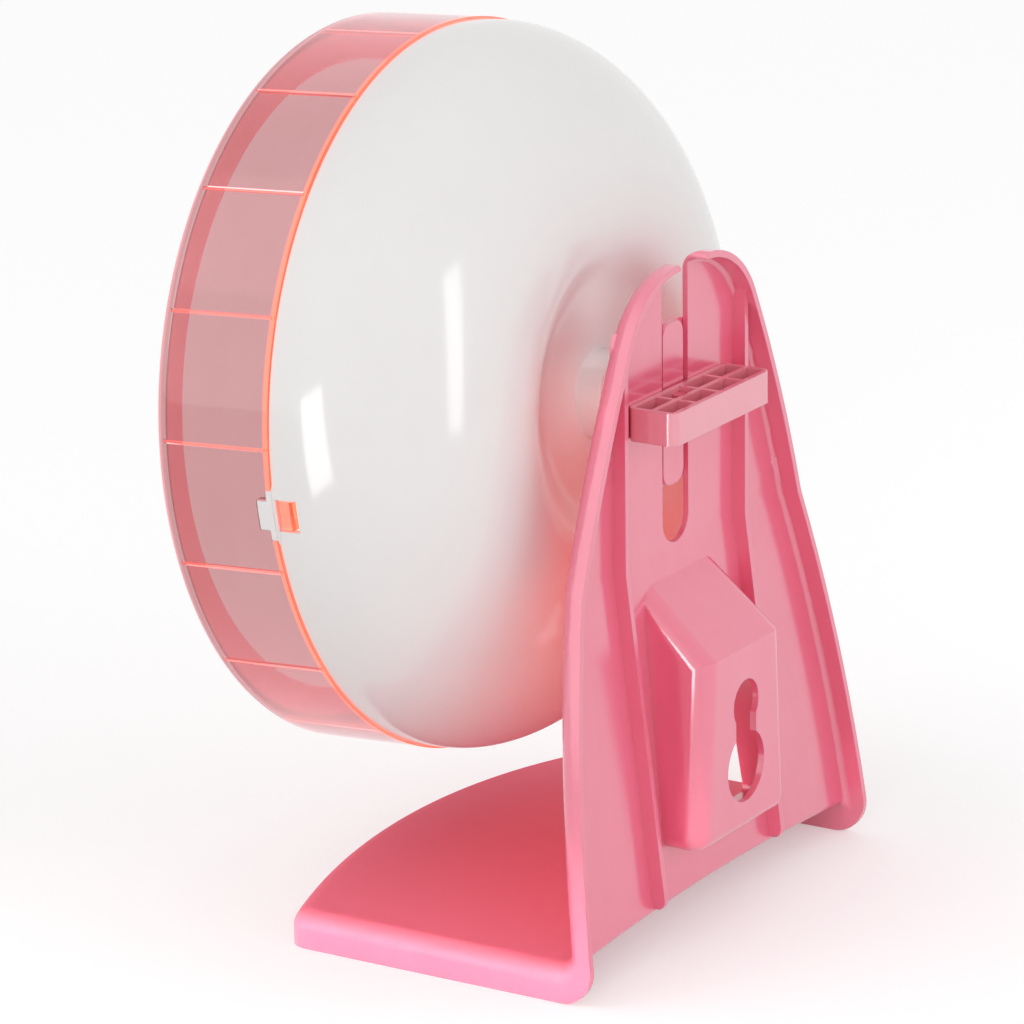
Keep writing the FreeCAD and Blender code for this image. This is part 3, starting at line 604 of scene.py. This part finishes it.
@dataclass(frozen=True)
class ClearPlastic:
    """See-through fluorescent plastic, whose edges, bars and hooks send out the light it gathers; its front
    and faces seen aslant send out a painted pink glow.
    """

    name: str
    tint: Colour
    cloud: Colour
    glow: Colour
    # Colour of the painted pink glow at the band's front and on faces seen aslant.
    blush: Colour
    deep: Colour
    glow_strength: float
    roughness: float
    aslant_from: float = 0.35
    aslant_full: float = 0.75
    aslant_glow_share: float = 0.7
    peel_scale: float = 500.0
    peel_depth: float = 0.00001
    peel_strength: float = 0.3
    ior: float = 1.49

    def material(self) -> bpy.types.Material:
        """Build the finish.

        Returns:
            A glass-like material, orange where its glow value is high, deeper in colour where it is seen
            aslant, through more of it, and sending out a painted pink glow where its blush value is high and
            where it is seen aslant; a blush of -1 sends out no light aslant.
        """
        material, tree, shader = new_material(self.name)
        grain = tree.group(GRAIN, {"Peel Scale": self.peel_scale})
        glow, blush = tree.attribute("glow"), tree.attribute("blush")
        facing = tree.add("ShaderNodeLayerWeight", {"Blend": 0.5}).outputs["Facing"]
        aslant = tree.span(facing, self.aslant_from, self.aslant_full)
        tone = tree.blend(grain["Tone"], self.tint, self.cloud)
        tone = tree.blend(aslant, tone, self.deep)
        tone = tree.blend(glow, tone, self.glow)
        # Painted pink glow: the band's front, and any face seen aslant, sends out pink light.
        shown = tree.math("MINIMUM", tree.math("MULTIPLY", aslant, self.aslant_glow_share),
                          tree.math("ADD", blush, 1.0))
        light = tree.blend(tree.math("MAXIMUM", blush, shown), DARK, self.blush)
        light = tree.blend(glow, light, self.glow)
        rough = tree.span(grain["Tone"], 0.0, 1.0, self.roughness, self.roughness * 2.0)
        bump = tree.add("ShaderNodeBump", {"Height": grain["Peel"], "Strength": self.peel_strength,
                                           "Distance": self.peel_depth})
        tree.fill(shader, {"Base Color": tone, "Roughness": rough, "Normal": bump.outputs[0],
                           "Emission Color": light, "Emission Strength": self.glow_strength,
                           "Transmission Weight": 1.0, "IOR": self.ior})
        return material


@dataclass(frozen=True)
class BrightSteel:
    """Ground steel with fine lines left by turning."""

    name: str
    colour: Colour
    dull: Colour
    roughness: float
    spread: float = 0.14
    line_scale: float = 2200.0
    line_stretch: Point = (0.05, 1.0, 0.05)
    edge_width: float = 0.0002

    def material(self) -> bpy.types.Material:
        """Build the finish.

        Returns:
            A metal whose gloss varies along the turning lines.
        """
        material, tree, shader = new_material(self.name)
        lined = tree.add("ShaderNodeMapping", {"Vector": tree.place(), "Scale": self.line_stretch})
        lines = tree.noise(lined.outputs[0], self.line_scale, 4.0)
        edges = tree.group(EDGES, {"Width": self.edge_width})
        share = tree.span(lines, 0.35, 0.65)
        rough = tree.span(share, 0.0, 1.0, self.roughness, self.roughness + self.spread)
        tree.fill(shader, {"Base Color": tree.blend(share, self.colour, self.dull), "Roughness": rough,
                           "Normal": edges["Normal"], "Metallic": 1.0})
        return material


Finish = MouldedPlastic | ClearPlastic | BrightSteel
PINK = MouldedPlastic("pink_moulded", (0.84, 0.145, 0.25), (0.82, 0.13, 0.23), (0.91, 0.35, 0.43),
                      (0.83, 0.165, 0.235), 0.40, coat=1.0, coat_ior=2.1, specular=0.3)
# Paler copy of the pink for the block behind the carriage: painted light, so that faces the rim shades look
# lit.
PAINTED_LIT_PINK = replace(PINK, name="pink_painted_lit", colour=(0.83, 0.26, 0.33), cloud=(0.81, 0.24, 0.31),
                    worn=(0.9, 0.4, 0.47), matt=(0.82, 0.27, 0.32))
WHITE = MouldedPlastic("white_moulded", (0.81, 0.79, 0.78), (0.795, 0.775, 0.765), (0.84, 0.83, 0.82),
                       (0.75, 0.74, 0.73), 0.11, spread=0.02, peel_scale=420.0, peel_depth=0.000012,
                       dull_rough=0.13)
# The fourth colour is the band's painted pink glow.
CLEAR = ClearPlastic("clear_fluorescent", (0.63, 0.315, 0.325), (0.6, 0.29, 0.3), (1.0, 0.17, 0.09),
                     (0.33, 0.16, 0.18), (0.64, 0.205, 0.23), 0.72, 0.03)
STEEL = BrightSteel("ground_steel", (0.62, 0.62, 0.63), (0.50, 0.50, 0.52), 0.2)
NYLON = MouldedPlastic("cage_nylon", (0.62, 0.58, 0.48), (0.56, 0.52, 0.42), (0.7, 0.66, 0.56),
                       (0.55, 0.5, 0.4), 0.45)


def finished(piece: bpy.types.Object, finish: Finish) -> bpy.types.Object:
    """Give a piece its finish and no other.

    Args:
        piece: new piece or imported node.
        finish: one of the finishes above.

    Returns:
        The piece.
    """
    material = bpy.data.materials.get(finish.name) or finish.material()
    piece.data.materials.clear()
    piece.data.materials.append(material)
    return piece


def dress(piece: bpy.types.Object, finish: Finish) -> None:
    """Give a new piece its finish."""
    finished(piece, finish)


# Pieces


CLIP_COUNT = 3
CLIP_FIRST = -6.8
CLIPS = CLIP_FIRST + np.arange(CLIP_COUNT) * 360.0 / CLIP_COUNT
Outline = tuple[tuple[float, float], ...]


@dataclass
class Drum:
    """White drum: round shoulder, dished back, bearing hub, snap tabs and windows.

    The hub's outlines are steps of radius and depth from its wall and from the face they run into.
    """

    TAB_CELLS: ClassVar[slice] = slice(0, 2)
    STEP_CELL: ClassVar[int] = 2
    WINDOW_CELLS: ClassVar[slice] = slice(5, 10)
    PROUD_ROWS: ClassVar[int] = 6

    outer_r: float = 104.3
    wall: float = 1.8
    straight: float = 5.7
    back_y: float = 50.5
    crest_r: float = 48.9
    power: float = 1.78
    floor_y: float = 41.9
    floor_r: float = 28.7
    flush_r: float = 105.0
    tab_width: float = 8.4
    tab_reach: float = 5.0
    step_width: float = 14.5
    step_reach: float = 1.7
    window_width: float = 9.2
    window_start: float = 0.8
    window_end: float = 7.4
    edge: float = 0.25
    hub_r: float = 13.0
    hub_back_y: float = 50.2
    hub_nose_y: float = 36.7
    hub_face_r: float = 9.4
    hub_bevel: float = 0.3
    hub_root: Outline = ((1.1, 0.0), (0.3, 0.25), (0.0, 0.9))
    hub_end: Outline = ((0.0, -1.2), (-0.35, -0.35), (-1.2, 0.0))
    hub_foot: Outline = ((0.9, 0.0), (0.2, -0.3), (0.0, -1.0))
    seat_r: float = 11.0
    seat_y: float = 48.2
    hole_r: float = 6.8
    ease: float = 13.0
    ease_passes: int = 110
    dull_start: float = 15.0
    dull_width: float = 24.0
    middle_row: float = 0.6
    bent_rows: tuple[float, ...] = (0.35, 0.7)
    shoulder_rows: int = 64
    row_power: float = 1.15
    dish_rows: int = 14
    spacing: float = 0.9
    slack: float = 0.02
    sharp_angle: float = 32.0

    def shoulder(self, radius: float, crest_y: float) -> np.ndarray:
        """Round shoulder: r = c + (R - c) cos(t)^(2/n), y = s + (b - s) sin(t)^(2/n).

        Args:
            radius: radius R of the straight band.
            crest_y: depth b of the crest.

        Returns:
            Radius and depth from the window's end to the crest.
        """
        share = (self.window_end - self.straight) / (crest_y - self.straight)
        start = math.asin(share ** (self.power / 2.0))
        t = start + (np.pi / 2.0 - start) * np.linspace(0.0, 1.0, self.shoulder_rows) ** self.row_power
        across = np.clip(np.cos(t), 0.0, 1.0) ** (2.0 / self.power)
        deep = np.sin(t) ** (2.0 / self.power)
        return np.stack([self.crest_r + (radius - self.crest_r) * across,
                         self.straight + (crest_y - self.straight) * deep], -1)

    def dish(self, inset: float) -> np.ndarray:
        """Two equal tangent arcs from the crest down to the dish floor.

        Args:
            inset: distance in from the outside.

        Returns:
            Radius and depth, with the crest left out and the point where the arcs meet put in once.
        """
        fall, width = self.back_y - self.floor_y, self.crest_r - self.floor_r
        bend = (width * width + fall * fall) / (4.0 * fall)
        turn = 2.0 * math.atan2(fall, width) * np.linspace(0.0, 1.0, self.dish_rows + 1)[1:]
        high = np.stack([self.crest_r - (bend - inset) * np.sin(turn),
                         self.back_y - bend + (bend - inset) * np.cos(turn)], -1)
        back = turn[::-1] - turn[0]
        low = np.stack([self.floor_r + (bend + inset) * np.sin(back),
                        self.floor_y + bend - (bend + inset) * np.cos(back)], -1)
        return np.concatenate([high, low[1:]])

    def softened(self, profile: np.ndarray) -> np.ndarray:
        """Ease the bend where shoulder and dish meet at the crest.

        Each pass moves a row to p + (prev - 2 p + next) / 4 with the weight exp(-(d / w)^2), d the
        row's distance from the crest in radius.

        Args:
            profile: rows of radius and depth, from the shoulder into the dish.

        Returns:
            The rows with a round crest.
        """
        weight = np.exp(-((profile[1:-1, :1] - self.crest_r) / self.ease) ** 2) / 4.0
        for _ in range(self.ease_passes):
            bent = profile[:-2] - 2.0 * profile[1:-1] + profile[2:]
            profile = np.concatenate([profile[:1], profile[1:-1] + weight * bent, profile[-1:]])
        return profile

    def band(self, radius: float, crest_y: float, sign: float) -> np.ndarray:
        """Rows of the tabs, the rim and the window, up to the row before the shoulder.

        Args:
            radius: radius of the straight band.
            crest_y: depth of the crest, for the rows that already curve.
            sign: 1 for the outside, whose corners fall in, and -1 for the inside.

        Returns:
            Radius and depth of each row.
        """
        bevel = sign * self.edge
        rows = [(radius - bevel, -self.tab_reach), (radius, self.edge - self.tab_reach),
                (radius, -self.step_reach), (radius - bevel, 0.0), (radius, self.edge),
                (radius, self.window_start), (radius, self.straight * self.middle_row),
                (radius, self.straight)]
        bent = self.straight + (self.window_end - self.straight) * np.array(self.bent_rows)
        share = ((bent - self.straight) / (crest_y - self.straight)) ** self.power
        fall = self.crest_r + (radius - self.crest_r) * (1.0 - share) ** (1.0 / self.power)
        return np.concatenate([np.array(rows), np.stack([fall, bent], -1)])

    def hub_outside(self) -> np.ndarray:
        """Rear face of the hub, from the dish floor to the hole round the axle.

        Returns:
            Radius and depth of each row.
        """
        root = np.array(self.hub_root) + (self.hub_r, self.floor_y)
        end = np.array(self.hub_end) + (self.hub_r, self.hub_back_y)
        rim = [(self.hub_face_r, self.hub_back_y), (self.hole_r + self.hub_bevel, self.hub_back_y),
               (self.hole_r, self.hub_back_y - self.hub_bevel)]
        return np.concatenate([root, end, rim])

    def hub_inside(self) -> np.ndarray:
        """Front of the hub, from the dish floor over its nose to the bearing's seat.

        Returns:
            Radius and depth of each row.
        """
        nose_y, bevel = self.hub_nose_y, self.hub_bevel
        foot = np.array(self.hub_foot) + (self.hub_r, self.floor_y - self.wall)
        nose = [(self.hub_r, nose_y + bevel), (self.hub_r - bevel, nose_y), (self.seat_r + bevel, nose_y),
                (self.seat_r, nose_y + bevel), (self.seat_r, self.seat_y), (self.hole_r, self.seat_y)]
        return np.concatenate([foot, nose])

    def shell(self) -> Shell:
        """Grid of the drum: profile rows by angles, with tabs and windows as kept cells.

        Returns:
            The drum's closed shell, with its dull dish.
        """
        inner_r, inner_y = self.outer_r - self.wall, self.back_y - self.wall
        back = np.concatenate([self.shoulder(self.outer_r, self.back_y), self.dish(0.0)])
        front = np.concatenate([self.shoulder(inner_r, inner_y), self.dish(self.wall)])
        outside = np.concatenate([self.band(self.outer_r, self.back_y, 1.0), self.softened(back),
                                  self.hub_outside()])
        inside = np.concatenate([self.band(inner_r, inner_y, -1.0), self.softened(front), self.hub_inside()])
        halves = np.array([self.tab_width, self.window_width, self.step_width]) / 2.0
        offsets = np.degrees(np.concatenate([halves, -halves]) / self.outer_r)
        angle = columns_round((CLIPS[:, None] + offsets[None, :]).ravel(), self.spacing)
        aside = off_centre(angle, CLIPS, self.outer_r)
        radius = np.repeat(outside[:, :1], len(angle), axis=1)
        proud = outside[:, 1:] < self.window_start - self.slack
        proud = proud & (aside[None, :] < self.step_width / 2.0 + self.slack)
        first_rows = np.arange(len(outside))[:, None] < self.PROUD_ROWS
        radius += np.where(proud & first_rows, self.flush_r - self.outer_r, 0.0)
        kept = np.ones((len(outside) - 1, len(angle)), bool)
        across = off_centre(half_way(angle), CLIPS, self.outer_r)
        kept[self.TAB_CELLS] = across < self.tab_width / 2.0
        kept[self.STEP_CELL] = across < self.step_width / 2.0
        kept[self.WINDOW_CELLS] = across > self.window_width / 2.0
        turn = np.radians(angle)[None, :]
        dull = np.clip((self.crest_r + self.dull_start - outside[:, :1]) / self.dull_width, 0.0, 1.0)
        dull = np.repeat(dull ** 2 * (3.0 - 2.0 * dull), len(angle), axis=1)
        return thick_sheet(hung(turned(radius, outside[:, 1:], turn)),
                           hung(turned(inside[:, :1], inside[:, 1:], turn)), kept, dull=(dull, dull))

    def build(self) -> bpy.types.Object:
        """Make the drum and put it on the wheel's body.

        Returns:
            The new piece.
        """
        piece = self.shell().placed("drum_shell", self.sharp_angle)
        dress(piece, WHITE)
        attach(piece, Body.WHEEL.value)
        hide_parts("wheel_bowl")
        return piece


@dataclass
class RunningBand:
    """Clear band with a rounded front, an inward lip, cross bars, notches and hooks."""

    STEP_CELLS: ClassVar[slice] = slice(0, 3)
    TAB_CELLS: ClassVar[slice] = slice(3, 6)

    outer_r: float = 105.0
    wall: float = 2.0
    depth: float = 38.4
    front_round: float = 5.3
    lip_r: float = 91.3
    lip_round: float = 0.9
    bar_count: int = 18
    bar_first: float = 3.2
    bar_width: float = 0.7
    bar_height: float = 0.8
    bar_front_gap: float = 3.4
    bar_rear_gap: float = 2.0
    notch_gap: float = 0.05
    hook_width: float = 8.2
    hook_start: float = 1.3
    hook_crest: float = 3.8
    hook_length: float = 5.2
    hook_wall: float = 1.6
    hook_root: float = 5.6
    hook_sink: float = 0.6
    hook_drop: float = 0.6
    hook_bevel: float = 0.3
    hook_step: float = 0.01
    glow_edge: float = 0.8
    glow_fade: float = 0.4
    bar_glow: float = 0.6
    catch_glow: float = 0.75
    # Depth from which the painted pink glow grows towards the band's front.
    painted_glow_start: float = 33.0
    edge: float = 0.2
    side_rows: int = 12
    round_rows: int = 12
    face_rows: int = 5
    lip_rows: int = 6
    hook_columns: int = 9
    spacing: float = 0.9
    sharp_angle: float = 32.0

    def profile(self, sign: float, drum: Drum) -> np.ndarray:
        """Rows of the band from its rear edge round the front to the lip.

        Args:
            sign: 1 for the outside and -1 for the inside, one wall further in.
            drum: the drum, whose tabs the notches fit.

        Returns:
            Radius and depth of each row.
        """
        inset = 0.0 if sign > 0.0 else self.wall
        radius, corner_r = self.outer_r - inset, self.front_round - inset
        centre = (self.outer_r - self.front_round, self.front_round - self.depth)
        straight = np.array([0.0, self.edge, self.glow_edge, drum.step_reach + self.notch_gap,
                             self.bar_rear_gap, self.bar_rear_gap + self.edge,
                             drum.tab_reach + self.notch_gap])
        long_run = np.linspace(straight[-1], -centre[1], self.side_rows)[1:]
        depth = -np.concatenate([straight, long_run])
        side = np.stack([np.full(len(depth), radius), depth], -1)
        side[0, 0] -= sign * self.edge
        turn = np.linspace(0.0, np.pi / 2.0, self.round_rows + 1)[1:]
        bend = np.stack([centre[0] + corner_r * np.cos(turn), centre[1] - corner_r * np.sin(turn)], -1)
        face_y = centre[1] - corner_r
        run = np.linspace(centre[0], self.lip_r + self.lip_round, self.face_rows)[1:]
        flat = np.stack([run, np.full(len(run), face_y)], -1)
        turn = np.linspace(0.0, np.pi / 2.0, self.lip_rows + 1)[1:]
        nose = np.stack([self.lip_r + self.lip_round * (1.0 - np.sin(turn)),
                         face_y + sign * self.lip_round * (1.0 - np.cos(turn))], -1)
        return np.concatenate([side, bend, flat, nose])

    def shell(self, drum: Drum) -> Shell:
        """Grid of the band, with bars raised on its inside and notches as dropped cells.

        A bar lifts the inside to radius min(r, R - h) where both its share across and its
        share along are 1, and leaves it at r where either is 0.

        Args:
            drum: the drum, whose tabs the notches fit.

        Returns:
            The band's closed shell with its glow and its painted pink glow.
        """
        outside, inside = self.profile(1.0, drum), self.profile(-1.0, drum)
        inner_r = self.outer_r - self.wall
        bars = self.bar_first + np.arange(self.bar_count) * 360.0 / self.bar_count
        half_bar = self.bar_width / 2.0
        foot = half_bar + self.edge
        bar_marks = np.degrees(np.array([-foot, -half_bar, half_bar, foot]) / inner_r)
        halves = np.array([drum.tab_width, drum.step_width]) / 2.0 + self.notch_gap
        clip_marks = np.degrees(np.concatenate([halves, -halves]) / drum.outer_r)
        marks = np.concatenate([(bars[:, None] + bar_marks).ravel(), (CLIPS[:, None] + clip_marks).ravel()])
        angle = columns_round(marks, self.spacing)
        across = np.clip((foot - off_centre(angle, bars, inner_r)) / self.edge, 0.0, 1.0)
        start, end = -self.bar_rear_gap, self.bar_front_gap - self.depth
        along = np.clip((start - inside[:, 1]) / self.edge, 0.0, 1.0) * (inside[:, 1] > end)
        share = along[:, None] * across[None, :]
        lifted = np.minimum(inside[:, :1], inner_r - self.bar_height)
        radius = inside[:, :1] * (1.0 - share) + lifted * share
        aside = off_centre(half_way(angle), CLIPS, drum.outer_r)
        kept = np.ones((len(outside) - 1, len(angle)), bool)
        kept[self.STEP_CELLS] = aside > halves[1]
        kept[self.TAB_CELLS] = aside > halves[0]
        far, deep = outside[:, 0], outside[:, 1]
        rear = np.clip(1.0 + (deep + self.glow_edge) / self.glow_fade, 0.0, 1.0)
        glow = np.repeat(rear[:, None], len(angle), axis=1)
        # Painted pink glow: the band's front sends out pink light, and its rounded front corner sends out
        # none.
        blush = np.clip((self.painted_glow_start + deep) / (self.painted_glow_start - self.depth), 0.0, 1.0)
        bent = (deep < self.front_round - self.depth) & (far > self.outer_r - self.front_round)
        blush = np.where(bent, -1.0, blush)
        blush = np.repeat(blush[:, None], len(angle), axis=1)
        turn = np.radians(angle)[None, :]
        return thick_sheet(hung(turned(outside[:, :1], outside[:, 1:], turn)),
                           hung(turned(radius, inside[:, 1:], turn)), kept,
                           glow=(glow, np.maximum(glow, self.bar_glow * share)), blush=(blush, blush))

    def hook(self, angle: float, drum: Drum) -> Shell:
        """Tongue under the drum's edge with a wedge-shaped catch that shows in the window.

        The section runs along the tongue's underside and back over its top, each top point
        facing the one below it.

        Args:
            angle: place of the hook round the axle in degrees.
            drum: the drum, whose window the catch fills.

        Returns:
            The hook as a closed shell whose catch glows.
        """
        top = drum.outer_r - drum.wall - self.notch_gap
        low = top - self.hook_wall
        wall_r = self.outer_r - self.wall + self.hook_sink
        back = -drum.tab_reach - self.notch_gap
        start, step, bevel = self.hook_start, self.hook_step, self.hook_bevel
        stations = [(-self.hook_root, wall_r), (back, wall_r), (back + step, top), (start - step, top),
                    (start, drum.outer_r - bevel), (start + bevel, drum.outer_r),
                    (start + self.hook_crest, drum.outer_r), (start + self.hook_length, top - self.hook_drop)]
        under = np.array([(low, y) for y, _ in stations])
        over = np.array([(r, y) for y, r in stations])
        half = self.hook_width / 2.0 / drum.outer_r
        across = math.radians(angle) + np.linspace(-half, half, self.hook_columns)
        shell = solid_block(np.concatenate([under, over[::-1]]), across)
        lit = self.catch_glow * (under[:, 1] >= start)
        shell.values["glow"] = np.repeat(np.concatenate([lit, lit[::-1]]), len(across))
        return shell

    def build(self, drum: Drum) -> bpy.types.Object:
        """Make the band with its hooks and put it on the wheel's body.

        Args:
            drum: the drum that it snaps to.

        Returns:
            The new piece.
        """
        shell = self.shell(drum)
        for angle in CLIPS:
            shell = shell.joined(self.hook(float(angle), drum))
        piece = shell.placed("running_band", self.sharp_angle)
        dress(piece, CLEAR)
        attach(piece, Body.WHEEL.value)
        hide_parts("running_ring")
        return piece


@dataclass
class PinkMouldings:
    """The stand, the carriage in its slot and the block behind it in pink, the block's pink painted paler as
    painted light.
    """

    sharp_angle: float = 28.0

    def build(self) -> list[bpy.types.Object]:
        """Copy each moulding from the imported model, smooth it and put it on its body.

        Returns:
            The new pieces.
        """
        pieces = []
        for node, name, body, finish in (("stand", "stand_moulding", Body.STAND, PINK),
                                         ("axle_carriage", "carriage_moulding", Body.CARRIAGE, PINK),
                                         ("clamp_block", "block_moulding", Body.CARRIAGE, PAINTED_LIT_PINK)):
            piece = cad_copy(node).placed(name, self.sharp_angle)
            weigh_normals(piece)
            dress(piece, finish)
            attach(piece, body.value)
            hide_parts(node)
            pieces.append(piece)
        return pieces


@dataclass
class Bearing:
    """Axle, ball bearing, washer, screw and the cap that closes the hub."""

    steel_nodes: tuple[str, ...] = ("axle_pin", "axle_washer", "axle_screw", "bearing_inner_race",
                                    "bearing_outer_race", "bearing_balls", "bearing_shield_rear",
                                    "bearing_shield_front")
    sharp_angle: float = 32.0

    def build(self) -> list[bpy.types.Object]:
        """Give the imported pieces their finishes, and smooth the cap.

        Returns:
            The pieces that were dressed.
        """
        pieces = [finished(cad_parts[node], STEEL) for node in self.steel_nodes]
        cage = finished(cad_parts["bearing_cage"], NYLON)
        cap = cad_copy("hub_cap").placed("cap_moulding", self.sharp_angle)
        weigh_normals(cap)
        dress(cap, WHITE)
        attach(cap, Body.WHEEL.value)
        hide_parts("hub_cap")
        return pieces + [cage, cap]


# Studio


PURE_WHITE = (1.0, 1.0, 1.0, 1.0)


@dataclass(frozen=True)
class Softbox:
    """Flat lamp of the studio, aimed at a point, that may light surfaces, show in gloss or both."""

    name: str
    place: Point
    target: Point
    width: float
    height: float
    glow: float
    roll: float = 0.0
    spread: float = 180.0
    colour: Colour = (1.0, 1.0, 1.0)
    lights: bool = True
    shows: bool = True

    def build(self) -> None:
        """Hang the lamp; its power is glow times pi times its area, so that glow is its brightness."""
        data = bpy.data.lights.new(self.name, "AREA")
        data.shape = "RECTANGLE"
        data.size, data.size_y = self.width, self.height
        data.spread = math.radians(self.spread)
        data.color = self.colour
        data.energy = self.glow * math.pi * self.width * self.height
        lamp = linked(self.name, data)
        place = np.array(self.place)
        roll = Matrix.Rotation(math.radians(self.roll), 4, "Z")
        lamp.matrix_world = aim(place, np.array(self.target) - place) @ roll
        lamp.visible_camera = False
        lamp.visible_diffuse = self.lights
        lamp.visible_glossy = self.shows
        lamp.visible_transmission = False


LIT_THROUGH = (1.0, 0.16, 0.1)
LAMPS = (
    Softbox("window", (0.45, 0.012, 0.131), (0.1, -0.008, 0.155), 0.136, 0.207, 5.5, roll=18.0,
            lights=False),
    Softbox("strip", (0.08, 1.35, 0.44), (0.07, 0.014, 0.185), 0.2, 0.86, 4.6, lights=False),
    Softbox("kick", (0.37, -0.01, 0.012), (0.08, 0.0, 0.006), 0.3, 0.02, 3.2, spread=18.0, shows=False),
    Softbox("front", (1.45, 0.62, 0.45), (0.0, 0.0, 0.13), 0.8, 0.8, 2.05, shows=False),
    Softbox("hub", (0.733, 0.342, 0.289), (0.013, 0.022, 0.15), 0.02, 0.03, 0.25, spread=2.0, shows=False),
    Softbox("rear", (-0.1, 1.35, 0.6), (0.0, 0.03, 0.1), 1.0, 1.0, 1.2, shows=False),
    Softbox("upper_plate", (0.0, 0.0414, 0.136), (0.0, 0.0, 0.136), 0.085, 0.06, 0.44,
            colour=LIT_THROUGH, shows=False),
    Softbox("lower_plate", (0.0, 0.0465, 0.068), (0.0, 0.0, 0.0624), 0.13, 0.08, 0.47,
            colour=LIT_THROUGH, shows=False),
)


@dataclass
class Studio:
    """Pale floor, soft light and the camera of the photograph."""

    floor_half: float = 40.0
    floor_colour: Colour = (0.76, 0.76, 0.76)
    floor_lift: float = 0.325
    ambient: float = 0.72
    left_side: Point = (0.78, -0.58, 0.22)
    left_from: float = 0.4
    left_gloss: float = 1.7
    eye: Point = (1.269564, 0.769607, 0.555157)
    right: Point = (-0.51996558, 0.85408861, -0.01297863)
    up: Point = (-0.25061059, -0.13800998, 0.95820018)
    forward: Point = (-0.81659667, -0.50148369, -0.28580409)
    lens: float = 190.226
    sensor: float = 36.0
    nearest: float = 0.05
    farthest: float = 200.0
    key_from: Point = (0.62, -0.62, 0.95)
    key_strength: float = 0.44
    key_angle: float = 38.0

    def world(self) -> None:
        """White surroundings for rays that look, brighter in gloss from the left, and a softer fill."""
        world = bpy.data.worlds.new("studio")
        bpy.context.scene.world = world
        world.use_nodes = True
        tree = Tree(world.node_tree)
        gloss = tree.add("ShaderNodeLightPath").outputs["Is Glossy Ray"]
        turn = tree.dot(tree.add("ShaderNodeTexCoord").outputs["Generated"], self.left_side)
        left = tree.math("MULTIPLY", tree.span(turn, self.left_from, 1.0), gloss)
        level = tree.span(left, 0.0, 1.0, 1.0, self.left_gloss)
        fill = tree.add("ShaderNodeBackground", {"Color": PURE_WHITE, "Strength": self.ambient})
        white = tree.add("ShaderNodeBackground", {"Color": PURE_WHITE, "Strength": level})
        mix = tree.add("ShaderNodeMixShader", {0: tree.seen(), 1: fill.outputs[0], 2: white.outputs[0]})
        tree.add("ShaderNodeOutputWorld", {"Surface": mix.outputs[0]})

    def floor(self) -> None:
        """Wide pale floor that keeps the shadow and is lifted to white where it has none."""
        h = self.floor_half
        mesh = bpy.data.meshes.new("floor")
        mesh.from_pydata([(-h, -h, 0.0), (h, -h, 0.0), (h, h, 0.0), (-h, h, 0.0)], [], [(0, 1, 2, 3)])
        piece = linked("floor", mesh)
        material = bpy.data.materials.new("studio_floor")
        material.use_nodes = True
        tree = Tree(material.node_tree)
        matt = tree.add("ShaderNodeBsdfDiffuse", {"Color": (*self.floor_colour, 1.0)})
        lifted = tree.math("MULTIPLY", tree.seen(), self.floor_lift)
        lift = tree.add("ShaderNodeEmission", {"Color": PURE_WHITE, "Strength": lifted})
        both = tree.add("ShaderNodeAddShader", {0: matt.outputs[0], 1: lift.outputs[0]})
        tree.add("ShaderNodeOutputMaterial", {"Surface": both.outputs[0]})
        mesh.materials.append(material)

    def lights(self) -> None:
        """One wide key light from the left of the view, which gives the soft shadow, and the lamps."""
        key = bpy.data.lights.new("key", "SUN")
        key.energy = self.key_strength
        key.angle = math.radians(self.key_angle)
        lamp = linked("key", key)
        lamp.matrix_world = aim(np.array(self.key_from), -np.array(self.key_from))
        lamp.visible_glossy = False
        for box in LAMPS:
            box.build()

    def camera(self) -> None:
        """Camera at the photograph's viewing angle."""
        lens = bpy.data.cameras.new("photo")
        lens.lens = self.lens
        lens.sensor_width = self.sensor
        lens.clip_start, lens.clip_end = self.nearest, self.farthest
        camera = linked("photo", lens)
        camera.matrix_world = posed(self.right, self.up, -np.array(self.forward), self.eye)
        bpy.context.scene.camera = camera

    def build(self) -> None:
        """Set up the whole studio."""
        self.world()
        self.floor()
        self.lights()
        self.camera()
        bpy.context.scene.view_settings.view_transform = "Standard"


def posed(side: Any, up: Any, back: Any, place: Any) -> Matrix:
    """Matrix with the given axes, at a place."""
    rows = np.stack([side, up, back, place], 1).tolist()
    return Matrix([*rows, [0.0, 0.0, 0.0, 1.0]])


def aim(place: np.ndarray, direction: np.ndarray) -> Matrix:
    """Matrix that puts a lamp at a place, shining along a direction.

    Args:
        place: where it stands, in metres.
        direction: where its light goes.

    Returns:
        The lamp's matrix.
    """
    back = -direction / np.linalg.norm(direction)
    side = np.cross((0.0, 0.0, 1.0), back)
    side /= np.linalg.norm(side)
    return posed(side, np.cross(back, side), back, place)


def main() -> None:
    """Build the wheel, dress it and light it."""
    logging.basicConfig(level=logging.INFO, format="%(name)s: %(message)s")
    drum = Drum()
    pieces = [drum.build(), RunningBand().build(drum)]
    pieces += PinkMouldings().build()
    pieces += Bearing().build()
    Studio().build()


if __name__ == "__main__":
    main()
